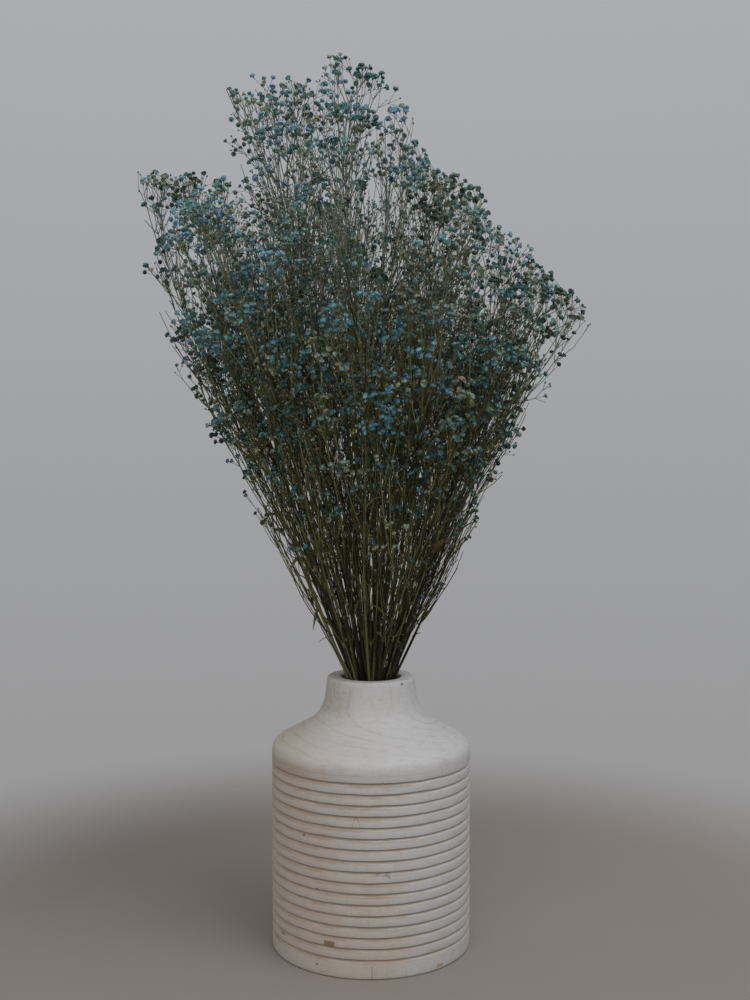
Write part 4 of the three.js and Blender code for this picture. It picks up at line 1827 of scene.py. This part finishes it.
    def _cyme(
        self, root: Vector, heading: Vector, reach: float, depth: int, tone: float, sure: bool = False
    ) -> None:
        """Grow a forked cluster of florets.

        Args:
            root: Its root.
            heading: Its direction.
            reach: The length of its stalks.
            depth: How many times it forks again.
            tone: The tone of its dye.
            sure: Whether it grows at any height.
        """
        if not sure and self.chance.random() > 0.2 + 1.3 * self._lush(root):
            return
        if self.crown.depth(root) < self.habit.edge_depth:
            reach *= 1.32
        upper = UPWARD if abs(heading.z) < 0.94 else Vector((1, 0, 0))
        turn = self.vary(0, FULL_TURN)
        self._floret(root, lean_off(heading, upper, self.vary(0, 0.3), turn), reach * 0.8, tone)
        if depth == 0:
            return
        arms = 3 if self.chance.random() < 0.22 else 2
        for arm in range(arms):
            lean = self.vary(0.42, 0.82)
            out = lean_off(heading, upper, lean, turn + arm * FULL_TURN / arms)
            out = (out + UPWARD * 0.12).normalized()
            length = reach * self.vary(0.7, 1.25)
            end = root + out * length
            if depth == 1:
                self._floret(root, out, length, tone)
                continue
            if not self._inside(end + out * 4):
                continue
            radius = self.habit.pedicel_radius * 1.15
            self.growth.tube([root, end], [radius, radius * 0.9], 3, self._twig_tone())
            self._cyme(end, out, reach * 0.82, depth - 1, tone, True)

    def _floret(self, root: Vector, heading: Vector, stalk: float, tone: float) -> None:
        """Grow a floret or a bud on its stalk.

        Args:
            root: The stalk's root.
            heading: Its direction.
            stalk: Its length.
            tone: The tone of its dye.
        """
        length = stalk * self.vary(0.65, 1.15)
        end = root + heading * length
        if not self._inside(end + heading * 3):
            return
        lean = math.hypot(end.x, end.y) / ((end.z - self.stem.fan.apex_z) * self.stem.fan.slope)
        hidden = lean < 0.6 and self.crown.depth(end) > self.habit.hidden_depth
        bud = self.chance.random() < (0.86 if hidden else self.habit.bud_share)
        size = self.habit.floret_size * self.vary(0.8, 1.2) * (0.55 if bud else 1)
        radius = self.habit.pedicel_radius
        inside = end + heading * (size * 0.15)
        self.growth.tube([root, inside], [radius, radius * 0.85], 3, self._twig_tone())
        nod = Vector((self.vary(-0.35, 0.35), self.vary(-0.35, 0.35), self.vary(-0.1, 0.3)))
        facing = (heading + nod).normalized()
        if bud and self.chance.random() < 0.5:
            tone = 0.92
        own = min(0.985, max(0.015, tone + self.dye_tone + self.vary(-0.07, 0.07)))
        kind = BUD if bud else self.chance.randrange(1000)
        self.growth.florets.append((end, facing, size, own, kind))

    def _bracts(self, points: list[Vector]) -> None:
        """Set small dry bracts on some points of a twig, more of them towards the front.

        Args:
            points: The points.
        """
        chance = self.bract_chance
        for point in points:
            share = self.habit.bract_share * (1.5 if point.y < 0 else 0.6)
            if chance.random() < share and self.crown.depth(point) > 6:
                aside = Vector((chance.uniform(-1, 1), chance.uniform(-1, 1), chance.uniform(0.2, 1.5)))
                size = self.habit.bract_size * chance.uniform(0.7, 1.3)
                tone = chance.choice((0.35, 0.6, 0.9, 0.93, 0.96, 0.98))
                self.growth.florets.append((point, aside.normalized(), size, tone, BRACT))

    # Leaves

    def _leaf(
        self, root: Vector, tip: Vector, width: float = 2.6, tone: float = 0.4, face: Vector = UPWARD
    ) -> None:
        """Grow a narrow, curled dry leaf.

        Args:
            root: Its root.
            tip: Its tip.
            width: Its greatest width.
            tone: Its tone among the stems'.
            face: The direction that its blade faces.
        """
        length = (tip - root).length
        curl = self.vary(-0.1, 0.5)
        points = []
        for step in range(9):
            t = step / 8
            rise = math.sin(t * math.pi) * 0.12 * length - curl * t ** 3 * 0.35 * length
            points.append(root.lerp(tip, t) + UPWARD * rise)
        self.growth.leaves.append((points, width, tone, face))


def share_extras(stems: list[PlannedStem]) -> list[Extras]:
    """Give each single sprig, floret, twig and leaf to the stem that passes nearest.

    Args:
        stems: All the stems.

    Returns:
        What each stem carries, in their order.
    """
    extras = [Extras() for _ in stems]

    def carrier(spot: Spot, below: float) -> Extras:
        """Return what the stem carries that passes nearest to a place."""
        return extras[min(stems, key=lambda stem: stem.miss(spot, below)).number]

    for spot in OUTLINE_SPRIGS + INNER_SPRIGS:
        carrier(spot, SPRIG_LENGTH).sprigs.append(spot)
    for spot in LOW_FLORETS:
        carrier(spot, STALK_LENGTH).florets.append(spot)
    for twig in BARE_TWIGS:
        carrier(twig[0], 0).twigs.append(twig)
    for leaf in DRY_LEAVES:
        carrier(leaf[0], 0).leaves.append(leaf)
    return extras


@dataclass
class SprayPieces:
    """Turns the growth of a spray into its two pieces, the stems and the florets."""

    blooms: list[Bloom]
    buds: list[Bloom]
    bract: Bloom
    stem_finish: Material
    dye_finishes: dict[Slot, Material]

    def build(self, stem: PlannedStem, growth: Growth) -> int:
        """Build both pieces of a spray.

        Args:
            stem: The planned stem.
            growth: What grew on it.

        Returns:
            How many triangles they have.
        """
        stems = self._stems(growth)
        florets = self._florets(growth)
        dye = DYES[stem.number % len(DYES)]
        pairs = (
            (f"{stem.name}_stems", stems, Slot.DRIED_STEM, self.stem_finish),
            (f"{stem.name}_florets", florets, dye, self.dye_finishes[dye]),
        )
        for name, batch, slot, finish in pairs:
            piece = batch.build(name)
            piece.data.materials.append(finish)
            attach(piece, "root")
            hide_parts(stem.name)
        return stems.triangles() + florets.triangles()

    def _stems(self, growth: Growth) -> MeshBatch:
        """Mesh the stems, twigs and leaves.

        Args:
            growth: What grew.

        Returns:
            The mesh batch.
        """
        batch = MeshBatch()
        for (rings, sides), tubes in growth.tubes.items():
            paths, radii, tones = (np.array(rows) for rows in zip(*tubes))
            corners = tube_corners(paths, radii, sides)
            along = np.repeat(paths[:, :, 2] / CROWN_TOP, sides, axis=1)
            round_ = np.tile(np.cos(np.arange(sides) * FULL_TURN / sides), rings) * 0.012
            across = np.clip(tones[:, None] + round_[None], 0.002, 0.998)
            batch.add(corners, np.stack([along, across], axis=-1), tube_faces(rings, sides), True)
        for leaf in growth.leaves:
            self._leaf(batch, *leaf)
        return batch

    @staticmethod
    def _leaf(batch: MeshBatch, points: list[Vector], width: float, tone: float, face: Vector) -> None:
        """Mesh a folded blade with a midrib.

        Args:
            batch: The batch that it goes into.
            points: The line of its midrib.
            width: Its greatest width.
            tone: Its tone among the stems'.
            face: The direction that it faces.
        """
        path = np.array(points)
        tangents = unit_rows(np.gradient(path, axis=0))
        side = unit_rows(np.cross(tangents, tuple(face)))
        upper = np.cross(side, tangents)
        shares = np.linspace(0, 1, len(points))
        half = width / 2 * np.maximum(0.12, np.sin(np.pi * shares ** 0.7) ** 0.8)
        fold = half * 0.55
        left = path - side * half[:, None] + upper * fold[:, None]
        right = path + side * half[:, None] + upper * fold[:, None]
        top = path + upper * 0.1
        below = path - upper * 0.18
        ring = np.stack([left, below, right, top], axis=1)
        places = np.zeros((len(points), 4, 2))
        places[:, :, 0] = ring[:, :, 2] / CROWN_TOP
        places[:, :, 1] = np.clip(tone + 0.1, 0, 0.99)
        batch.add(ring.reshape(1, -1, 3), places, tube_faces(len(points), 4), True)

    def _florets(self, growth: Growth) -> MeshBatch:
        """Mesh the florets and buds.

        Args:
            growth: What grew.

        Returns:
            The mesh batch.
        """
        batch = MeshBatch()
        spots, facings, sizes, tones, kinds = (np.array(row) for row in zip(*growth.florets))
        helper = np.eye(3)[np.argmin(np.abs(facings), axis=1)]
        level = unit_rows(np.cross(facings, helper))
        other = np.cross(facings, level)
        spins = (np.arange(len(kinds)) * GOLDEN_ANGLE)[:, None]
        first = level * np.cos(spins) + other * np.sin(spins)
        second = np.cross(facings, first)
        bases = np.stack([first, second, facings], axis=-1) * sizes[:, None, None]
        forms = [(self.bract, kinds == BRACT)]
        for number, bloom in enumerate(self.blooms):
            forms.append((bloom, (kinds >= 0) & (kinds % len(self.blooms) == number)))
        count = np.cumsum(kinds == BUD)
        for number, bud in enumerate(self.buds):
            forms.append((bud, (kinds == BUD) & (count % len(self.buds) == number)))
        for form, chosen in forms:
            if not chosen.any():
                continue
            corners = np.einsum("nij,vj->nvi", bases[chosen], form.corners) + spots[chosen][:, None]
            across = tones[chosen][:, None] + form.offset[None]
            along = np.broadcast_to(form.along, across.shape)
            places = np.clip(np.stack([along, across], axis=-1), 0.002, 0.998)
            batch.add(corners, places, [form.triangles], False)
        return batch


# The vase


@dataclass
class TurnedVase:
    """The turned vase with its worn rings, square grooves, soft shoulder and flared neck."""

    sides: int = 200
    body_radius: float = 88.5
    groove_count: int = 17
    groove_pitch: float = 9.3
    lowest_groove: float = 16.2
    groove_depth: float = 2.0
    body_top: float = 171.0
    seed: int = 51
    foot: Outline = (
        (0, 0), (84, 0), (86.4, 0), (87.6, 0.35), (88.25, 1.1), (88.5, 2.2),
        (88.5, 6.5), (88.5, 11.5),
    )
    shoulder: Outline = (
        (88.5, 174), (88.35, 176.5), (87.7, 179.2), (86.2, 181.8), (83.6, 184), (80, 186),
        (74.5, 189), (69, 192), (63.4, 195.1), (58.5, 197.7), (54.2, 200.3), (50.4, 203.4),
        (47.2, 207), (44.8, 210.8), (43, 214.8), (41.6, 219.6), (40.6, 225), (40, 230),
        (39.6, 234.5), (39.3, 237.2), (38.7, 238.9), (37.7, 239.7), (36.4, 240), (31.5, 240),
        (28.4, 239.9), (27.2, 239.5), (26.4, 238.7), (26, 237.4), (26, 230), (26, 205),
        (26, 120), (26, 14.6), (25.2, 14), (0, 14),
    )

    def _profile(self) -> Array:
        """Return the turned outline from the foot's middle to the middle of the bore's floor.

        Returns:
            The radius and height of each point, how far it moves with its groove's lower (negative)
            or upper lip, and the number of its groove.
        """
        rows = [(radius, z, 0, 0) for radius, z in self.foot]
        across = (
            (0, -3, -0.4),
            (0.08, -2.3, -1),
            (0.35, -1.7, -1),
            (self.groove_depth * 0.5, -0.8, -0.5),
            (self.groove_depth * 0.9, -0.1, 0),
            (self.groove_depth, 0.3, 0),
            (self.groove_depth * 0.85, 0.62, 0.5),
            (0.5, 0.78, 1),
            (0.15, 0.95, 1),
            (0, 1.5, 0.4),
        )
        for groove in range(self.groove_count):
            middle = self.lowest_groove + groove * self.groove_pitch
            rows += [(self.body_radius - depth, middle + lift, lip, groove) for depth, lift, lip in across]
        rows += [(radius, z, 0, 0) for radius, z in self.shoulder]
        return np.array(rows)

    def build(self, finish: Material) -> int:
        """Build the vase.

        Args:
            finish: Its material.

        Returns:
            How many triangles it has.
        """
        rows = self._profile()
        profile = rows[:, :2]
        angles = np.arange(self.sides) * FULL_TURN / self.sides
        radii, heights = self._worn(rows)
        ring = np.stack([radii * np.sin(angles), -radii * np.cos(angles), heights], axis=-1)
        batch = MeshBatch()
        steps = np.linalg.norm(np.diff(profile, axis=0), axis=1)
        hidden = (profile[1:, 0] < 26.6) & (profile[1:, 1] < 236)
        hidden[0] = True
        steps[hidden] *= 0.12
        run = np.concatenate([[0], np.cumsum(steps)]) / np.sum(steps)
        columns = self.sides + 1
        wrapped = np.concatenate([ring, ring[:, :1]], axis=1)
        places = np.zeros((len(rows), columns, 2))
        places[:, :, 0] = np.linspace(0, 1, columns)[None]
        places[:, :, 1] = run[:, None]
        batch.add(wrapped.reshape(1, -1, 3), places, [wall_faces(len(rows), columns, self.sides)], True)
        piece = batch.build("turned_vase")
        self._weld(piece)
        piece.data.materials.append(finish)
        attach(piece, "root")
        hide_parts("vase")
        return batch.triangles()

    @staticmethod
    def _weld(piece: bpy.types.Object) -> None:
        """Join the corners that meet at the seam and on the axis.

        Args:
            piece: The vase.
        """
        made = bmesh.new()
        made.from_mesh(piece.data)
        bmesh.ops.remove_doubles(made, verts=made.verts, dist=0.00001)
        made.to_mesh(piece.data)
        made.free()

    def _worn(self, rows: Array) -> tuple[Array, Array]:
        """Turn the outline round, with the unevenness of hand turning and wear.

        Args:
            rows: The rows of the outline.

        Returns:
            The radius and the height of each corner, as rows by sides.
        """
        chance = np.random.default_rng(self.seed)
        angles = np.arange(self.sides) * FULL_TURN / self.sides
        radii, heights = (np.repeat(rows[:, (place,)], self.sides, axis=1) for place in (0, 1))
        kernel = np.array([0.25, 0.5, 0.8, 1, 0.8, 0.5, 0.25])
        kernel /= np.linalg.norm(kernel)
        for groove in range(self.groove_count):
            for side in (-1, 1):
                phase = groove * 2.4 + side
                wave = 0.09 * np.sin(3 * angles + phase) + 0.06 * np.sin(8 * angles + 2 * phase)
                raw = chance.normal(0, 1, self.sides)
                rough = np.convolve(np.concatenate([raw[-3:], raw, raw[:3]]), kernel, mode="valid")
                lip = (rows[:, 3] == groove) & (rows[:, 2] * side > 0)
                heights[lip] += (wave + 0.13 * rough) * np.abs(rows[lip, 2])[:, None]
        body = (heights > 4) & (heights < 186) & (radii > 60)
        drift = 0.1 * np.sin(2 * angles + 0.6)[None] + 0.05 * np.sin(5 * angles + 1.7)[None]
        return radii + np.where(body, drift, 0), heights


# The surroundings


@dataclass
class Studio:
    """The camera, the light and the pale floor."""

    focal_pixels: float = 1274.25
    frame_height: int = 1000
    sensor: float = 36.0
    camera_place: Triple = (3.5, -1129.8, 450.7)
    camera_pitch: float = 2.74
    air_high: Colour = paint(171, 173, 177)
    air_low: Colour = paint(148, 147, 147)
    lamp_size: float = 1.1
    lamps: tuple[tuple[str, float, Triple], ...] = (
        ("key", 13.5, (620, -700, 1700)),
        ("fill", 6, (-450, -1450, 800)),
    )

    @staticmethod
    def _hang(name: str, data: bpy.types.ID, place: Triple) -> bpy.types.Object:
        """Add a camera or a lamp at a place.

        Args:
            name: Its name.
            data: The camera or the light.
            place: Where it hangs, in millimetres.

        Returns:
            The new object.
        """
        made = bpy.data.objects.new(name, data)
        bpy.context.scene.collection.objects.link(made)
        made.location = Vector(place) * MM
        return made

    def camera(self) -> None:
        """Set the camera up."""
        data = bpy.data.cameras.new("camera")
        data.sensor_width = self.sensor
        data.lens = self.focal_pixels * self.sensor / self.frame_height
        data.clip_start = 0.05
        data.clip_end = 50
        made = self._hang("camera", data, self.camera_place)
        made.rotation_euler = (math.radians(90 - self.camera_pitch), 0, 0)
        bpy.context.scene.camera = made

    def light(self) -> None:
        """Set the plain soft light up, from all round and from large lamps that face the object."""
        scene = bpy.context.scene
        scene.view_settings.view_transform = "Standard"
        recipe = Recipe(bpy.data.worlds.new("air"))
        _, _, height = recipe.parts(recipe.node("ShaderNodeTexCoord"))
        half = recipe.node("ShaderNodeMapRange", None, {"Value": height, "From Min": -1})
        colour = recipe.colours(half, [(0.3, self.air_low), (0.66, self.air_high)])
        air = recipe.node("ShaderNodeBackground", None, {"Color": colour})
        recipe.node("ShaderNodeOutputWorld", None, {0: air})
        scene.world = recipe.owner
        for name, power, place in self.lamps:
            data = bpy.data.lights.new(name, "AREA")
            data.energy = power
            data.size = self.lamp_size
            data.color = (1, 0.985, 0.96)
            made = self._hang(name, data, place)
            aim = Vector((0, 0, 0.35)) - made.location
            made.rotation_euler = aim.to_track_quat("-Z", "Y").to_euler()

    def floor(self, finish: Material, radius: float = 1400) -> None:
        """Lay the floor.

        Args:
            finish: Its material.
            radius: Its radius.
        """
        sides = 96
        angles = np.arange(sides) * FULL_TURN / sides
        across = np.stack([np.cos(angles), np.sin(angles)], axis=-1)
        corners = np.zeros((sides, 3))
        corners[:, :2] = across * radius
        batch = MeshBatch()
        batch.add(corners[None], across / 2 + 0.5, [np.arange(sides)[None]], False)
        made = batch.build("floor")
        made.data.materials.append(finish)


def petal_finishes() -> dict[Slot, Material]:
    """Return the material of each dye, whose tones run from the darkest to the faded one."""
    dyes = [PetalFinish(slot, tuple(paint(*tone) for tone in tones)) for slot, tones in DYE_TONES.items()]
    return {dye.slot: dye.material() for dye in dyes}


def main() -> None:
    """Build the vase, the sprays and the surroundings, in that order."""
    logging.basicConfig(level=logging.INFO, format="%(message)s")
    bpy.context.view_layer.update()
    vase = TurnedVase()
    # Whitewash colours: cool, warm, tan, groove, and a brown for the painted groove shadows and the small
    # arch
    tones = ((192, 192, 193), (188, 179, 168), (162, 143, 124), (166, 146, 126), (128, 107, 88))
    wash = WhitewashFinish(Slot.WHITEWASHED_WOOD, *(paint(*tone) for tone in tones), VASE_MARKS, vase)
    total = vase.build(wash.material())
    fan = Fan()
    skeleton = Skeleton(fan, Crown(fan))
    tones = ((32, 31, 16), (70, 71, 38), (126, 122, 72), (98, 60, 38), (84, 98, 92))
    twigs = StemFinish(Slot.DRIED_STEM, *(paint(*tone) for tone in tones))
    blooms = [BloomMaker().open_floret(seed) for seed in range(7)]
    buds = [BloomMaker().closed_bud(seed) for seed in range(3)]
    bract = BloomMaker().bract()
    pieces = SprayPieces(blooms, buds, bract, twigs.material(), petal_finishes())
    habit = Habit()
    flowers = 0
    for stem, extras in zip(skeleton.stems, share_extras(skeleton.stems)):
        growth = SprayGrower(stem, habit, extras).grow()
        flowers += len(growth.florets)
        total += pieces.build(stem, growth)
    LOG.info("%d florets, buds and bracts, %d triangles in all", flowers, total)
    studio = Studio()
    studio.camera()
    studio.light()
    studio.floor(FloorFinish(paint(148, 139, 132), 0.33, 0.75).material())


if __name__ == "__main__":
    main()
